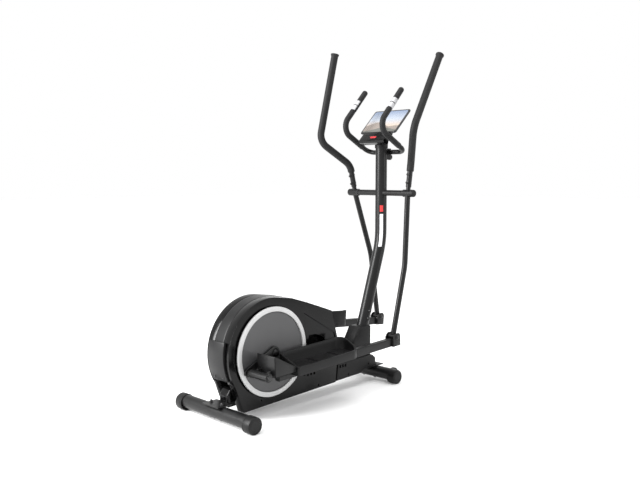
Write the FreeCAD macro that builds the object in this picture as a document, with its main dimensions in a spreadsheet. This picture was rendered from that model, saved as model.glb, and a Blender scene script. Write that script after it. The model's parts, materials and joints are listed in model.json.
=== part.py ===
import FreeCAD, Part
import math
import os

# Elliptical cross trainer with a rear crank. Millimetres.
# Frame: +X towards the mast, +Y to the user's left, +Z up. The origin is on the floor under
# the middle of the machine. Side -1 is the user's right, side +1 the user's left.

SIZES = {
    # overall layout
    "axle_x": -384.4,           # crank axle, from the origin
    "axle_height": 278.5,
    "crossbar_x": 836.5,        # swing arm axis, ahead of the crank axle
    "crossbar_height": 970.0,
    "pivot_height": 242.0,      # front pivot when its arm hangs upright
    "lower_arm": "=crossbar_height - pivot_height",
    "crank_radius": 165.0,
    "crank_angle": 203.0,       # right crank, degrees from +X towards +Z
    "pedal_length": 880.5,      # crank pin to front pivot
    # base
    "foot_radius": 30.0,
    "foot_wall": 2.0,
    "cap_wall": 7.5,
    "cap_radius": "=foot_radius + cap_wall",
    "cap_drop": 5.0,
    "foot_height": "=cap_radius + cap_drop",
    "rear_foot_x": -249.5,
    "rear_foot_half": 260.0,
    "front_foot_x": 758.0,
    "front_foot_half": 189.0,
    "cap_length": 46.0,
    "pad_width": 16.0,
    "front_cap_wall": 5.0,
    "front_cap_radius": "=foot_radius + front_cap_wall",
    "saddle_thick": 5.0,
    "foot_bolt_y": 38.0,
    "bolt_hole": 4.2,
    "rail_width": 60.0,
    "rail_depth": 40.0,
    "rail_wall": 2.5,
    "rail_rear": -170.0,
    "rail_front": 700.0,
    "wheel_radius": 26.0,
    "wheel_width": 18.0,
    "wheel_y": 108.0,
    # mast
    "mast_radius": 30.0,
    "mast_wall": 2.0,
    "crossbar_back": 3.5,       # crossbar axis behind the mast's axis
    "mast_x": "=crossbar_x + crossbar_back",
    "mast_bend_z": 715.0,
    "mast_top": 1216.0,
    "mast_foot_z": 262.0,
    "mast_slope": 3.0,          # rise per unit of forward lean
    "mast_bend": 400.0,
    "crossbar_radius": 15.0,
    "pin_radius": 10.0,
    "bush_wall": 4.0,
    "hub_bore": "=pin_radius + bush_wall",
    "hub_wall": 5.0,
    "hub_radius": "=hub_bore + hub_wall",
    "hub_width": 52.0,
    "bar_end": 10.0,            # crossbar beyond each hub
    "crossbar_half": "=arm_y + hub_width / 2 + bar_end",
    # crank and discs, from the housing outwards
    "axle_radius": 10.0,
    "shell_half": 75.0,
    "shell_wall": 3.0,
    "strip_half": 30.0,
    "disc_gap": 5.0,
    "disc_back": "=shell_half + disc_gap",
    "disc_thick": 8.0,
    "disc_face": "=disc_back + disc_thick",
    "ring_rise": 4.0,
    "ring_face": "=disc_face + ring_rise",
    "disc_radius": 199.0,
    "ring_over": 3.0,
    "ring_outer": "=disc_radius + ring_over",
    "ring_width": 22.0,
    "ring_inner": "=ring_outer - ring_width",
    "crank_gap": 0.5,
    "crank_back": "=ring_face + crank_gap",
    "crank_thick": 11.0,
    "crank_face": "=crank_back + crank_thick",
    "crank_width": 40.0,
    "crank_hub": 27.0,
    # swing arms and handles
    "arm_gap": 76.5,            # crank face to the plane of the arms
    "arm_y": "=crank_face + arm_gap",
    "arm_radius": 14.0,
    "arm_wall": 2.0,
    "arm_bow": 36.0,            # lower arm bows forward
    "arm_bow_drop": 365.0,
    "arm_pin": 6.0,
    "arm_sleeve": 15.0,
    "foam_thick": 4.5,
    "grip_radius": "=arm_radius + foam_thick",
    "grip_knob": 3.5,
    "handle_top": 728.0,
    "handle_lean": 86.0,
    "handle_tip_out": 47.0,
    "knee_rise": 150.0,
    "elbow_back": 112.0,
    "elbow_out": 82.0,
    "elbow_rise": 310.0,
    "joint_start": 32.0,
    "joint_bolt_low": 52.0,
    "joint_bolt_high": 94.0,
    "joint_hole": 3.2,
    "grip_start": 112.0,
    # pedal arms
    "sleeve_gap": 18.0,
    "sleeve_start": "=crank_face + sleeve_gap",
    "sleeve_width": 113.0,
    "sleeve_end": "=sleeve_start + sleeve_width",
    "sleeve_radius": 18.0,
    "bolt_radius": 8.0,
    "bracket_start": 34.0,
    "bracket_top": 83.0,
    "bracket_low": -9.0,
    "gusset_end": 160.0,
    "tube_start": 94.0,
    "tube_width": 30.0,
    "tube_depth": 40.0,
    "tube_wall": 2.0,
    "tube_top": -5.0,
    "fork_side": 2.0,           # play each side of the arm's lower sleeve
    "fork_sleeve": 42.0,
    "fork_gap": "=fork_sleeve + 2 * fork_side",
    "fork_plate": 4.0,
    "tray_start": 160.5,
    "tray_length": 404.0,
    "tray_in": 68.0,
    "tray_inner": "=arm_y - tray_in",
    "tray_out": 66.0,
    "tray_outer": "=arm_y + tray_out",
    "tray_wall": 3.5,
    "tray_rim": 50.0,
    "tray_low_rim": 14.0,
    "tray_skirt": 22.0,         # walls go on below the floor, past the tube
    "tray_corner": 42.0,
    # drive
    "pulley_radius": 130.0,
    "pulley_back": 52.0,
    "pulley_width": 14.0,
    "fly_x": 235.0,
    "fly_height": 300.0,
    "fly_radius": 118.0,
    "fly_width": 24.0,
    "fly_shaft": 7.0,
    "small_radius": 25.0,
    "belt_thick": 3.0,
    "belt_play": 0.3,
    "idler_radius": 18.0,
    "idler_share": 0.62,        # along the lower run, from the crank
    "idler_pivot_x": 200.0,
    "idler_pivot_z": 160.0,
    "stud_radius": 5.0,
    "motor_x": 330.0,
    # housing
    "shell_rim": 39.0,
    "shell_radius": "=ring_outer + shell_rim",
    "skirt_rear": 32.0,
    "skirt_front": 58.0,
    "roof_rise": 11.0,          # crown of the roof above a straight line
    "shell_front": 472.0,
    "roof_angle": 79.0,
    "rear_angle": 213.0,
    "boot_side": 8.0,
    # handlebar and console
    "bar_radius": 12.5,
    "bar_foam": 2.5,
    "bar_grip": "=bar_radius + bar_foam",
    "bar_reach": 14.5,          # bar's axis ahead of the mast's face
    "bar_x": "=mast_x + mast_radius + bar_reach",
    "bar_drop": 34.0,
    "bar_z": "=mast_top - bar_drop",
    "bar_half": 124.0,
    "bar_back": 219.5,
    "bar_elbow_rise": 118.0,
    "bar_tip_back": 31.5,
    "bar_tip_rise": 318.0,
    "tablet_width": 239.0,
    "tablet_length": 177.0,
    "tablet_thick": 8.0,
    "screen_back": 34.5,
    "tablet_x": "=mast_x - screen_back",
    "screen_rise": 64.0,
    "tablet_z": "=mast_top + screen_rise",
    "tablet_tilt": 44.3,
    "console_back_half": 50.0,
    "console_half": 80.0,
    "key_radius": 13.0,
    # power socket
    "jack_x": 600.0,
    "jack_z": 100.0,
    "jack_radius": 3.0,
    "jack_depth": 9.0,
    # fits
    "run_gap": 0.05,
    "gap": 0.5,
}

doc = FreeCAD.newDocument("trainer")
sheet = doc.addObject("Spreadsheet::Sheet", "Sizes")
for row, alias in enumerate(SIZES, start=1):
    sheet.set("A%d" % row, alias)
    sheet.setAlias("B%d" % row, alias)
for row, value in enumerate(SIZES.values(), start=1):
    sheet.set("B%d" % row, str(value))
doc.recompute()

V = FreeCAD.Vector
X_AXIS, Y_AXIS, Z_AXIS = V(1, 0, 0), V(0, 1, 0), V(0, 0, 1)
SIDES = (("right", -1), ("left", 1))
parts = {}


def size(alias):
    """Value of one cell of the sheet."""
    return float(sheet.get(alias))


def at(x, y, z):
    """Point given from the crank axle's line, in the machine's frame."""
    return V(size("axle_x") + x, y, z)


def turn(axis, degrees):
    return FreeCAD.Rotation(axis, degrees)


def bind(obj, **sizes):
    """Sets properties to a number, or to an expression of sheet cells."""
    for prop, value in sizes.items():
        if isinstance(value, str):
            words = value.split()
            text = " ".join("Sizes." + w if w in SIZES else w for w in words)
            obj.setExpression(prop, text)
        else:
            setattr(obj, prop, value)
    return obj


def cylinder(radius, height, base, axis=Y_AXIS, name="round"):
    obj = bind(doc.addObject("Part::Cylinder", name), Radius=radius, Height=height)
    obj.Placement = FreeCAD.Placement(base, FreeCAD.Rotation(Z_AXIS, axis))
    return obj


def box(length, width, height, corner, rotation=None, name="block"):
    obj = bind(doc.addObject("Part::Box", name), Length=length, Width=width, Height=height)
    obj.Placement = FreeCAD.Placement(corner, rotation or FreeCAD.Rotation())
    return obj


def fuse(*shapes):
    obj = doc.addObject("Part::MultiFuse", "joined")
    obj.Shapes = list(shapes)
    obj.Refine = True
    return obj


def cut(base, *tools):
    obj = doc.addObject("Part::Cut", "cut")
    obj.Base = base
    obj.Tool = tools[0] if len(tools) == 1 else fuse(*tools)
    return obj


def common(first, second):
    obj = doc.addObject("Part::Common", "shared")
    obj.Base = first
    obj.Tool = second
    return obj


def group(*shapes):
    obj = doc.addObject("Part::Compound", "set")
    obj.Links = list(shapes)
    return obj


def fixed(shape, name="profile"):
    """A wire or face whose corners were worked out from the sheet."""
    obj = doc.addObject("Part::Feature", name)
    obj.Shape = shape
    return obj


def bent_wire(points, radii):
    """Straight runs joined by tangent arcs; radii holds one bend radius for each inner corner."""
    edges = []
    start = points[0]
    for before, corner, after, radius in zip(points, points[1:], points[2:], radii):
        back = (before - corner).normalize()
        ahead = (after - corner).normalize()
        half = back.getAngle(ahead) / 2
        reach = radius / math.tan(half)
        first = corner + back * reach
        last = corner + ahead * reach
        inward = (back + ahead).normalize()
        centre = corner + inward * (radius / math.sin(half))
        edges.append(Part.LineSegment(start, first).toShape())
        edges.append(Part.Arc(first, centre - inward * radius, last).toShape())
        start = last
    edges.append(Part.LineSegment(start, points[-1]).toShape())
    return Part.Wire(edges)


def sweep(points, radii, radius):
    """Round bar bent along the points."""
    spine = fixed(bent_wire(points, radii), "path")
    ring = bind(doc.addObject("Part::Circle", "section"), Radius=radius)
    ring.Placement = FreeCAD.Placement(points[0], FreeCAD.Rotation(Z_AXIS, points[1] - points[0]))
    obj = doc.addObject("Part::Sweep", "bar")
    obj.Sections = [ring]
    obj.Spine = (spine, ["Edge%d" % (n + 1) for n in range(len(spine.Shape.Edges))])
    obj.Solid = True
    obj.Frenet = False
    return obj


def bent_tube(points, radii, radius, wall):
    return cut(sweep(points, radii, radius), sweep(points, radii, radius + " - " + wall))


def straight_tube(outer, inner, length, base, axis=Y_AXIS):
    return cut(cylinder(outer, length, base, axis), cylinder(inner, length, base, axis))


def plate(corners, thickness, direction=Y_AXIS):
    """Flat plate from a closed outline, made thick along a direction."""
    face = fixed(Part.Face(Part.makePolygon(list(corners) + [corners[0]])))
    return extrude(face, thickness, direction)


def extrude(face, thickness, direction=Y_AXIS):
    obj = doc.addObject("Part::Extrusion", "plate")
    obj.Base = face
    obj.DirMode = "Custom"
    obj.Dir = direction
    obj.Solid = True
    bind(obj, LengthFwd=thickness)
    return obj


def placed(obj, base, rotation=None):
    obj.Placement = FreeCAD.Placement(base, rotation or FreeCAD.Rotation())
    return obj


def node(label, obj):
    """Names the finished piece, which also names its file."""
    obj.Label = label
    parts[label] = obj
    return obj


# Rest pose of the linkage ------------------------------------------------------------------

def pin_point(side):
    """Crank pin centre: x from the axle, and height."""
    angle = math.radians(size("crank_angle") + (0 if side < 0 else 180))
    radius = size("crank_radius")
    return radius * math.cos(angle), size("axle_height") + radius * math.sin(angle)


def pivot_point(side):
    """Front pivot: the lower arm's circle meets the pedal arm's circle."""
    pin_x, pin_z = pin_point(side)
    span_x = size("crossbar_x") - pin_x
    span_z = size("crossbar_height") - pin_z
    span = math.hypot(span_x, span_z)
    reach, arm = size("pedal_length"), size("lower_arm")
    along = (span ** 2 + reach ** 2 - arm ** 2) / (2 * span)
    off = math.sqrt(reach ** 2 - along ** 2)
    return (pin_x + (along * span_x + off * span_z) / span,
            pin_z + (along * span_z - off * span_x) / span)


def arm_angle(side):
    """Lean of the swing arm, positive with the handle forward."""
    x, z = pivot_point(side)
    return math.degrees(math.atan2(size("crossbar_x") - x, size("crossbar_height") - z))


def pedal_angle(side):
    """Slope of the pedal arm, positive with the front end up."""
    pin_x, pin_z = pin_point(side)
    x, z = pivot_point(side)
    return math.degrees(math.atan2(z - pin_z, x - pin_x))


def arm_place(side):
    return at(size("crossbar_x"), 0, size("crossbar_height")), turn(Y_AXIS, arm_angle(side))


def pedal_place(side):
    x, z = pin_point(side)
    return at(x, 0, z), turn(Y_AXIS, -pedal_angle(side))


# Base --------------------------------------------------------------------------------------

foot_top = size("foot_height") + size("foot_radius")
rail_base = foot_top + size("saddle_thick")
rail_top = rail_base + size("rail_depth")
BEARING_RADIUS = 23.5


def saddle(x, rear, front):
    """Plate welded under the rail, over one stabiliser tube."""
    bolts = [cylinder("bolt_hole", 20, at(x, y, foot_top - 5), Z_AXIS) for y in foot_bolt_places()]
    wide = box(78, 110, "saddle_thick", at(x - 35, -55, foot_top))
    tongue = box(front - rear, 54, "saddle_thick", at(rear, -27, foot_top))
    return cut(fuse(wide, tongue), *bolts)


def foot_bolt_places():
    return -size("foot_bolt_y"), size("foot_bolt_y")


def mast_line(z):
    """Forward place of the sloping part of the mast at a height."""
    return size("mast_x") - (size("mast_bend_z") - z) / size("mast_slope")


def mast_direction():
    return (at(mast_line(400), 0, 400) - at(mast_line(0), 0, 0)).normalize()


def build_frame():
    half, wall = size("rail_width") / 2, size("rail_wall")
    length, rear = "rail_front - rail_rear", size("rail_rear")
    rail = cut(box(length, "rail_width", "rail_depth", at(rear, -half, rail_base)),
               box(length, "rail_width - 2 * rail_wall", "rail_depth - 2 * rail_wall",
                   at(rear, wall - half, rail_base + wall)))
    slope = mast_direction()
    foot = at(mast_line(rail_top), 0, rail_top) - slope * 12
    post = cut(cylinder("mast_radius - mast_wall - gap", 250, foot, slope),
               cylinder("mast_radius - mast_wall - gap - 3", 250, foot, slope))
    pad = box(90, "rail_width", 4, at(mast_line(rail_top) - 45, -half, rail_top - 1))
    bracket = straight_tube(29, BEARING_RADIUS + 0.1, 90, at(0, -45, size("axle_height")))
    legs = []
    for y in (-38, 32):
        corners = [at(-45, y, rail_top - 1), at(45, y, rail_top - 1),
                   at(24, y, size("axle_height") - 16), at(-24, y, size("axle_height") - 16)]
        legs.append(plate(corners, 6))
    stands = []
    for y in (-32, 26):
        corners = [at(size("fly_x") - 40, y, rail_top - 1), at(size("fly_x") + 40, y, rail_top - 1),
                   at(size("fly_x") + 18, y, size("fly_height") + 18),
                   at(size("fly_x") - 18, y, size("fly_height") + 18)]
        stands.append(plate(corners, 6))
    braces = [box(6, 52, 40, at(size("fly_x") - 25, -26, rail_top))]
    pivot_x, pivot_z = bracket_pivot()
    pivots = [cylinder("stud_radius", 20, at(size("idler_pivot_x"), 31, size("idler_pivot_z"))),
              cylinder("stud_radius", 58, at(pivot_x, -29, pivot_z))]
    tabs = [box(16, 6, pivot_z - rail_top + 8, at(pivot_x - 8, y, rail_top - 1)) for y in (-29, 23)]
    solid = fuse(rail, post, pad, bracket, saddle(size("rear_foot_x"), -282, -130),
                 saddle(size("front_foot_x"), 640, 790), *legs, *stands, *braces, *pivots, *tabs)
    bores = [cylinder(BEARING_RADIUS + 0.1, 90, at(0, -45, size("axle_height"))),
             cylinder("fly_shaft + run_gap", 80, at(size("fly_x"), -40, size("fly_height")))]
    bores += mast_bolt_bores()
    node("main_frame", cut(solid, *bores))


def build_feet():
    for name, x, half in (("rear_stabiliser", "rear_foot_x", "rear_foot_half"),
                          ("front_stabiliser", "front_foot_x", "front_foot_half")):
        length = "2 * %s - 12" % half
        start = at(size(x), -size(half) + 6, size("foot_height"))
        tube = straight_tube("foot_radius", "foot_radius - foot_wall", length, start)
        holes = [cylinder("bolt_hole", 90, at(size(x), y, 0), Z_AXIS) for y in foot_bolt_places()]
        if name == "front_stabiliser":
            tube = cut(fuse(tube, *wheel_forks()),
                       cylinder("foot_radius - foot_wall", length, start))
        node(name, cut(tube, *holes))


def wheel_forks():
    """Ears and pins that carry the transport wheels, ahead of the front tube."""
    forks = []
    ear_gap = size("wheel_width") / 2 + 1
    for middle in (-size("wheel_y"), size("wheel_y")):
        for y in (middle - ear_gap - 4, middle + ear_gap):
            forks.append(cylinder(14, 4, at(wheel_x(), y, wheel_z())))
            forks.append(box(43, 4, 24, at(wheel_x() - 43, y, wheel_z() - 12)))
        forks.append(cylinder(4, "wheel_width + 10", at(wheel_x(), middle - ear_gap - 4, wheel_z())))
    return forks


def build_foot_bolts():
    bolts = []
    for x in (size("rear_foot_x"), size("front_foot_x")):
        for y in foot_bolt_places():
            low = size("foot_height") - size("foot_radius")
            shank = cylinder(4, size("foot_radius") * 2 + 16, at(x, y, low - 2), Z_AXIS)
            head = cylinder(9, 3.5, at(x, y, low - 4), Z_AXIS)
            nut = cylinder(7, 8, at(x, y, foot_top + size("saddle_thick")), Z_AXIS)
            bolts.append(fuse(shank, head, nut))
    node("stabiliser_bolts", group(*bolts))


def cap(side, x, half, radius, drop, length):
    """Cup over one end of a stabiliser tube, set lower than the tube's axis, with a flat to stand on."""
    face = side * size(half)
    inner = face - side * size(length)
    cup = cylinder(radius, length, at(x, inner, size("foot_height") - drop), Y_AXIS * side)
    low = size("foot_height") - drop - size(radius)
    pad = box("pad_width", size(length) - 12, 6,
              at(x - size("pad_width") / 2, min(inner, face) + 6, low))
    bore = cylinder("foot_radius + gap", size(length) - 5.5, at(x, inner, size("foot_height")),
                    Y_AXIS * side)
    return cut(fuse(cup, pad), bore)


def build_caps():
    front_caps = []
    for name, side in SIDES:
        node("leveller_" + name, cap(side, size("rear_foot_x"), "rear_foot_half", "cap_radius",
                                     size("cap_drop"), "cap_length"))
        shell = cap(side, size("front_foot_x"), "front_foot_half", "front_cap_radius",
                    size("foot_height") - size("front_cap_radius"), "cap_length")
        inner = side * (size("front_foot_half") - size("cap_length"))
        tube = cylinder("foot_radius + gap", size("cap_length") - 5.5,
                        at(size("front_foot_x"), inner, size("foot_height")), Y_AXIS * side)
        front_caps.append(cut(shell, tube))
        wheel = straight_tube("wheel_radius", 4 + size("run_gap"), "wheel_width",
                              at(wheel_x(), side * size("wheel_y") - size("wheel_width") / 2, wheel_z()))
        node("transport_wheel_" + name, wheel)
    node("front_caps", group(*front_caps))


def wheel_x():
    return size("front_foot_x") + size("front_cap_radius") + size("wheel_radius") + 3


def wheel_z():
    return size("wheel_radius") + 9


# Mast --------------------------------------------------------------------------------------

def mast_points(start_z):
    return [at(mast_line(start_z), 0, start_z), at(size("mast_x"), 0, size("mast_bend_z")),
            at(size("mast_x"), 0, size("mast_top"))]


def build_mast():
    tube = bent_tube(mast_points(size("mast_foot_z")), [size("mast_bend")], "mast_radius", "mast_wall")
    bore = cylinder("crossbar_radius + 0.1", "3 * mast_radius",
                    at(size("crossbar_x"), -1.5 * size("mast_radius"), size("crossbar_height")))
    root = size("mast_x") + size("mast_radius") - 4
    stub = box(size("bar_x") - 0.5 - root, 36, 58, at(root, -18, size("bar_z") - 39))
    seat = cylinder("bar_radius + gap", 60, at(size("bar_x"), -30, size("bar_z")))
    screw = cylinder(4.3, 40, at(root + 6, 0, size("bar_z") - 25), X_AXIS)
    node("mast", cut(fuse(tube, cut(stub, seat, screw)), bore, *mast_bolt_bores()))


def mast_bolt_heights():
    return (size("mast_foot_z") + 62, size("mast_foot_z") + 100)


def mast_bolt_bores():
    start = -1.5 * size("mast_radius")
    return [cylinder("bolt_hole", "3 * mast_radius", at(mast_line(z), start, z))
            for z in mast_bolt_heights()]


def build_mast_bolts():
    bolts = []
    head = size("mast_radius") + 2
    for z in mast_bolt_heights():
        x = mast_line(z)
        bolts.append(fuse(cylinder(4, 2 * head + 10, at(x, -head - 5, z)),
                          cylinder(8, 5, at(x, -head - 5, z)), cylinder(8, 5, at(x, head, z))))
    node("mast_bolts", group(*bolts))


def build_crossbar():
    x, z = size("crossbar_x"), size("crossbar_height")
    inner = size("arm_y") - size("hub_width") / 2 - 1.5
    axle = cylinder("pin_radius", "2 * crossbar_half - 8", at(x, -size("crossbar_half") + 4, z))
    bar = cylinder("crossbar_radius", 2 * inner, at(x, -inner, z))
    node("crossbar", fuse(bar, axle))
    caps = []
    for name, side in SIDES:
        start = side * (size("arm_y") + size("hub_width") / 2 + 1.5)
        length = size("crossbar_half") + 7 - abs(start)
        body = cylinder("hub_radius - 1", length, at(x, start, z), Y_AXIS * side)
        hole = cylinder("pin_radius + run_gap", size("crossbar_half") - 4 - abs(start),
                        at(x, start, z), Y_AXIS * side)
        caps.append(cut(body, hole))
    node("crossbar_caps", group(*caps))


# Swing arms and handles, built upright at the crossbar -------------------------------------

def handle_points(side, start, stop=1.0):
    """Centre line of one handle tube; stop cuts the last straight run short."""
    y = side * size("arm_y")
    elbow = V(-size("elbow_back"), y + side * size("elbow_out"), size("elbow_rise"))
    top = V(size("handle_lean"), y + side * size("handle_tip_out"), size("handle_top"))
    return [V(0, y, start), V(0, y, size("knee_rise")), elbow, elbow + (top - elbow) * stop]


def build_swing_arm(name, side):
    base, rotation = arm_place(side)
    y = side * size("arm_y")
    foot = -size("lower_arm")
    points = [V(0, y, -12), V(size("arm_bow"), y, -size("arm_bow_drop")), V(0, y, foot + 10)]
    tube = bent_tube(points, [300], "arm_radius", "arm_wall")
    hub_start = y - size("hub_width") / 2
    hub = cylinder("hub_radius", "hub_width", V(0, hub_start, 0))
    sleeve_start = y - size("fork_sleeve") / 2
    sleeve = cylinder("arm_sleeve", "fork_sleeve", V(0, sleeve_start, foot))
    stub = straight_tube("arm_radius - arm_wall - gap", "arm_radius - arm_wall - gap - 2",
                         100, V(0, y, 12), Z_AXIS)
    bores = [cylinder("hub_bore", "hub_width", V(0, hub_start, 0)),
             cylinder("arm_pin + run_gap", "fork_sleeve", V(0, sleeve_start, foot))]
    bores += joint_holes(y)
    node("swing_arm_" + name, placed(cut(fuse(tube, hub, sleeve, stub), *bores), base, rotation))
    bushes = []
    for start, direction in ((hub_start, 1), (hub_start + size("hub_width"), -1)):
        flange = cylinder("hub_radius - 1", 1, V(0, start, 0), Y_AXIS * -direction)
        body = cylinder("hub_bore", 18, V(0, start, 0), Y_AXIS * direction)
        bore = cylinder("pin_radius + run_gap", 24, V(0, start - direction * 3, 0), Y_AXIS * direction)
        bushes.append(cut(fuse(flange, body), bore))
    node("hub_bushes_" + name, placed(group(*bushes), base, rotation))


def joint_heights():
    return size("joint_bolt_low"), size("joint_bolt_high")


def joint_holes(y):
    """Cross holes of the handle joint."""
    return [cylinder("joint_hole", 60, V(-30, y, z), X_AXIS) for z in joint_heights()]


def build_handle(name, side):
    base, rotation = arm_place(side)
    y = side * size("arm_y")
    bends = [90, 78]
    tube = bent_tube(handle_points(side, size("joint_start"), 0.985), bends, "arm_radius", "arm_wall")
    node("handle_" + name, placed(cut(tube, *joint_holes(y)), base, rotation))
    outer = sweep(handle_points(side, size("grip_start"), 0.99), bends, "grip_radius")
    inner = sweep(handle_points(side, size("joint_start"), 0.985), bends, "arm_radius")
    points = handle_points(side, size("joint_start"))
    axis = (points[3] - points[2]).normalize()
    knob = cylinder("grip_radius + grip_knob", 12, points[3] - axis * 10, axis)
    node("grip_" + name, placed(cut(fuse(outer, knob), inner), base, rotation))
    face = size("arm_radius") + 0.2
    bolts = []
    for z in joint_heights():
        bolts.append(fuse(cylinder(3, 2 * face + 11.6, V(-face - 5.8, y, z), X_AXIS),
                          cylinder(6.5, 5, V(face, y, z), X_AXIS),
                          cylinder(6.5, 9, V(-face - 9, y, z), X_AXIS)))
    node("handle_bolts_" + name, placed(group(*bolts), base, rotation))


# Pedal arms, built with the crank pin at the origin ----------------------------------------

def build_pedal(name, side):
    base, rotation = pedal_place(side)
    y = side * size("arm_y")
    start, end = size("sleeve_start"), size("sleeve_end")
    width = size("sleeve_width")
    low = side * start if side > 0 else side * end
    first, last = size("bracket_start"), size("gusset_end")
    under, over = size("bracket_low"), size("bracket_top")
    sleeve = cylinder("sleeve_radius", width, V(0, low, 0))
    back = box(4, width, over - under, V(first, low, under))
    floor = box(last - first, width, 4, V(first, low, under))
    cheeks = []
    for y_cheek in (low, low + width - 4):
        corners = [V(first, y_cheek, under), V(last, y_cheek, under),
                   V(last, y_cheek, 10), V(first, y_cheek, over)]
        cheeks.append(plate(corners, 4))
    webs = [box(first - 6, 6, 30, V(8, y + off, under)) for off in (-35, 29)]
    reach, tube_start = size("pedal_length"), size("tube_start")
    tube_z = size("tube_top") - size("tube_depth")
    tube_length, wall = reach - 30 - tube_start, size("tube_wall")
    side_y = y - size("tube_width") / 2
    tube = cut(box(tube_length, "tube_width", "tube_depth", V(tube_start, side_y, tube_z)),
               box(tube_length, "tube_width - 2 * tube_wall", "tube_depth - 2 * tube_wall",
                   V(tube_start, side_y + wall, tube_z + wall)))
    half = size("fork_gap") / 2 + size("fork_plate")
    end_plate = box(4, 2 * half, "tube_depth", V(reach - 30, y - half, tube_z))
    base_plate = box(56, 2 * half, 4, V(reach - 30, y - half, tube_z))
    ears = []
    for y_ear in (y - half, y + size("fork_gap") / 2):
        corners = [V(reach - 30, y_ear, tube_z), V(reach + 26, y_ear, tube_z),
                   V(reach + 26, y_ear, 8), V(reach + 14, y_ear, 20), V(reach - 14, y_ear, 20),
                   V(reach - 30, y_ear, 0)]
        ears.append(plate(corners, "fork_plate"))
    hanger = box(last - tube_start, "tube_width", 6, V(tube_start, side_y, under - 2))
    solid = fuse(sleeve, back, floor, tube, end_plate, base_plate, hanger, *cheeks, *webs, *ears)
    bores = [cylinder("bolt_radius + run_gap", width + 17, V(0, low - 5, 0)),
             cylinder("arm_pin + run_gap", 2 * half + 12, V(reach, y - half - 6, 0))]
    node("pedal_arm_" + name, placed(cut(solid, *bores), base, rotation))
    build_tray(name, side, base, rotation)
    out = Y_AXIS * side
    inner = size("crank_face") + 1
    pin = cylinder("bolt_radius", end + 2 - inner, V(0, side * inner, 0), out)
    head = cylinder(12, 6, V(0, side * (end + 0.3), 0), out)
    collar = straight_tube(14, "bolt_radius", start - inner - 1.5, V(0, side * inner, 0), out)
    bolt = fuse(cylinder("arm_pin", 2 * half + 8, V(reach, y - half - 4, 0)),
                cylinder(10, 7, V(reach, y - half - 7.2, 0)),
                cylinder(10, 9, V(reach, y + half + 0.2, 0)))
    node("pedal_bolts_" + name, placed(group(fuse(pin, head, collar), bolt), base, rotation))


def build_tray(name, side, base, rotation):
    """Foot tray: low outer rim, tall inner rim, rounded front."""
    start, length, wall = size("tray_start"), size("tray_length"), size("tray_wall")
    inner, outer = size("tray_inner"), size("tray_outer")
    top = size("tray_rim")
    floor_z = size("tube_top") + 0.2

    def outline(inset, z):
        """Plan view with big front corners."""
        corner = size("tray_corner") - inset
        x0, x1 = start + inset, start + length - inset
        y0, y1 = side * (inner + inset), side * (outer - inset)
        s = side
        first, last = V(x1 - corner, y0, z), V(x1, y0 + s * corner, z)
        third, fourth = V(x1, y1 - s * corner, z), V(x1 - corner, y1, z)
        bow = corner * (1 - math.sqrt(0.5))
        edges = [Part.LineSegment(V(x0, y0, z), first).toShape(),
                 Part.Arc(first, V(x1 - bow, y0 + s * bow, z), last).toShape(),
                 Part.LineSegment(last, third).toShape(),
                 Part.Arc(third, V(x1 - bow, y1 - s * bow, z), fourth).toShape(),
                 Part.LineSegment(fourth, V(x0, y1, z)).toShape(),
                 Part.LineSegment(V(x0, y1, z), V(x0, y0, z)).toShape()]
        return fixed(Part.Face(Part.Wire(edges)))

    skirt = size("tray_skirt")
    body = extrude(outline(0, floor_z - skirt), top - floor_z + skirt, Z_AXIS)
    under = extrude(outline(wall, floor_z - skirt - 1), skirt + 1, Z_AXIS)
    mouth = size("tube_width") + 1
    tunnel = box(length + 2, mouth, skirt + 1,
                 V(start - 1, side * size("arm_y") - mouth / 2, floor_z - skirt - 1))
    cavity = extrude(outline(wall, floor_z + wall), top, Z_AXIS)
    low, high = size("tray_low_rim"), top + 5
    lid = plate([V(start - 1, side * (outer + 1), low), V(start - 1, side * (outer + 1), high),
                 V(start - 1, side * (inner + 25), high)],
                length + 2, X_AXIS)
    node("tray_" + name, placed(cut(body, cavity, under, tunnel, lid), base, rotation))


# Crank -------------------------------------------------------------------------------------

def build_crank():
    z = size("axle_height")
    ring_gap = size("run_gap")
    face = size("crank_face")
    node("crank_axle", cylinder("axle_radius", "2 * crank_face - 4", at(0, 2 - face, z)))
    rings = [straight_tube(BEARING_RADIUS, size("axle_radius") + ring_gap, 14, at(0, y, z))
             for y in (-44, 30)]
    node("axle_bearings", group(*rings))
    for name, side in SIDES:
        out = Y_AXIS * side
        pin_x, pin_z = pin_point(side)
        thick = size("crank_thick")
        back = side * size("crank_back")
        hub = cylinder("crank_hub", thick, at(0, back, z), out)
        tip = cylinder("crank_width / 2", thick, at(pin_x, back, pin_z), out)
        angle = -size("crank_angle") + (0 if side < 0 else 180)
        low = min(back, back + side * thick)
        corner = turn(Y_AXIS, angle).multVec(V(0, 0, -size("crank_width") / 2))
        web = box("crank_radius", thick, "crank_width", at(0, low, z) + corner, turn(Y_AXIS, angle))
        bore = cylinder(size("axle_radius") + ring_gap, 2 * thick, at(0, back - side * 3, z), out)
        node("crank_" + name, cut(fuse(hub, tip, web), bore))
        disc_back = side * size("disc_back")
        disc = cylinder("disc_radius", "disc_thick", at(0, disc_back, z), out)
        rim = straight_tube("ring_outer", "ring_inner", "ring_face - disc_back - 2",
                            at(0, disc_back + side * 2, z), out)
        hole = cylinder(size("axle_radius") + ring_gap, 30, at(0, disc_back - side * 5, z), out)
        dish = cylinder("ring_inner - 5", 3, at(0, disc_back, z), out)
        node("disc_" + name, cut(fuse(disc, rim), hole, dish))


# Drive -------------------------------------------------------------------------------------

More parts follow.
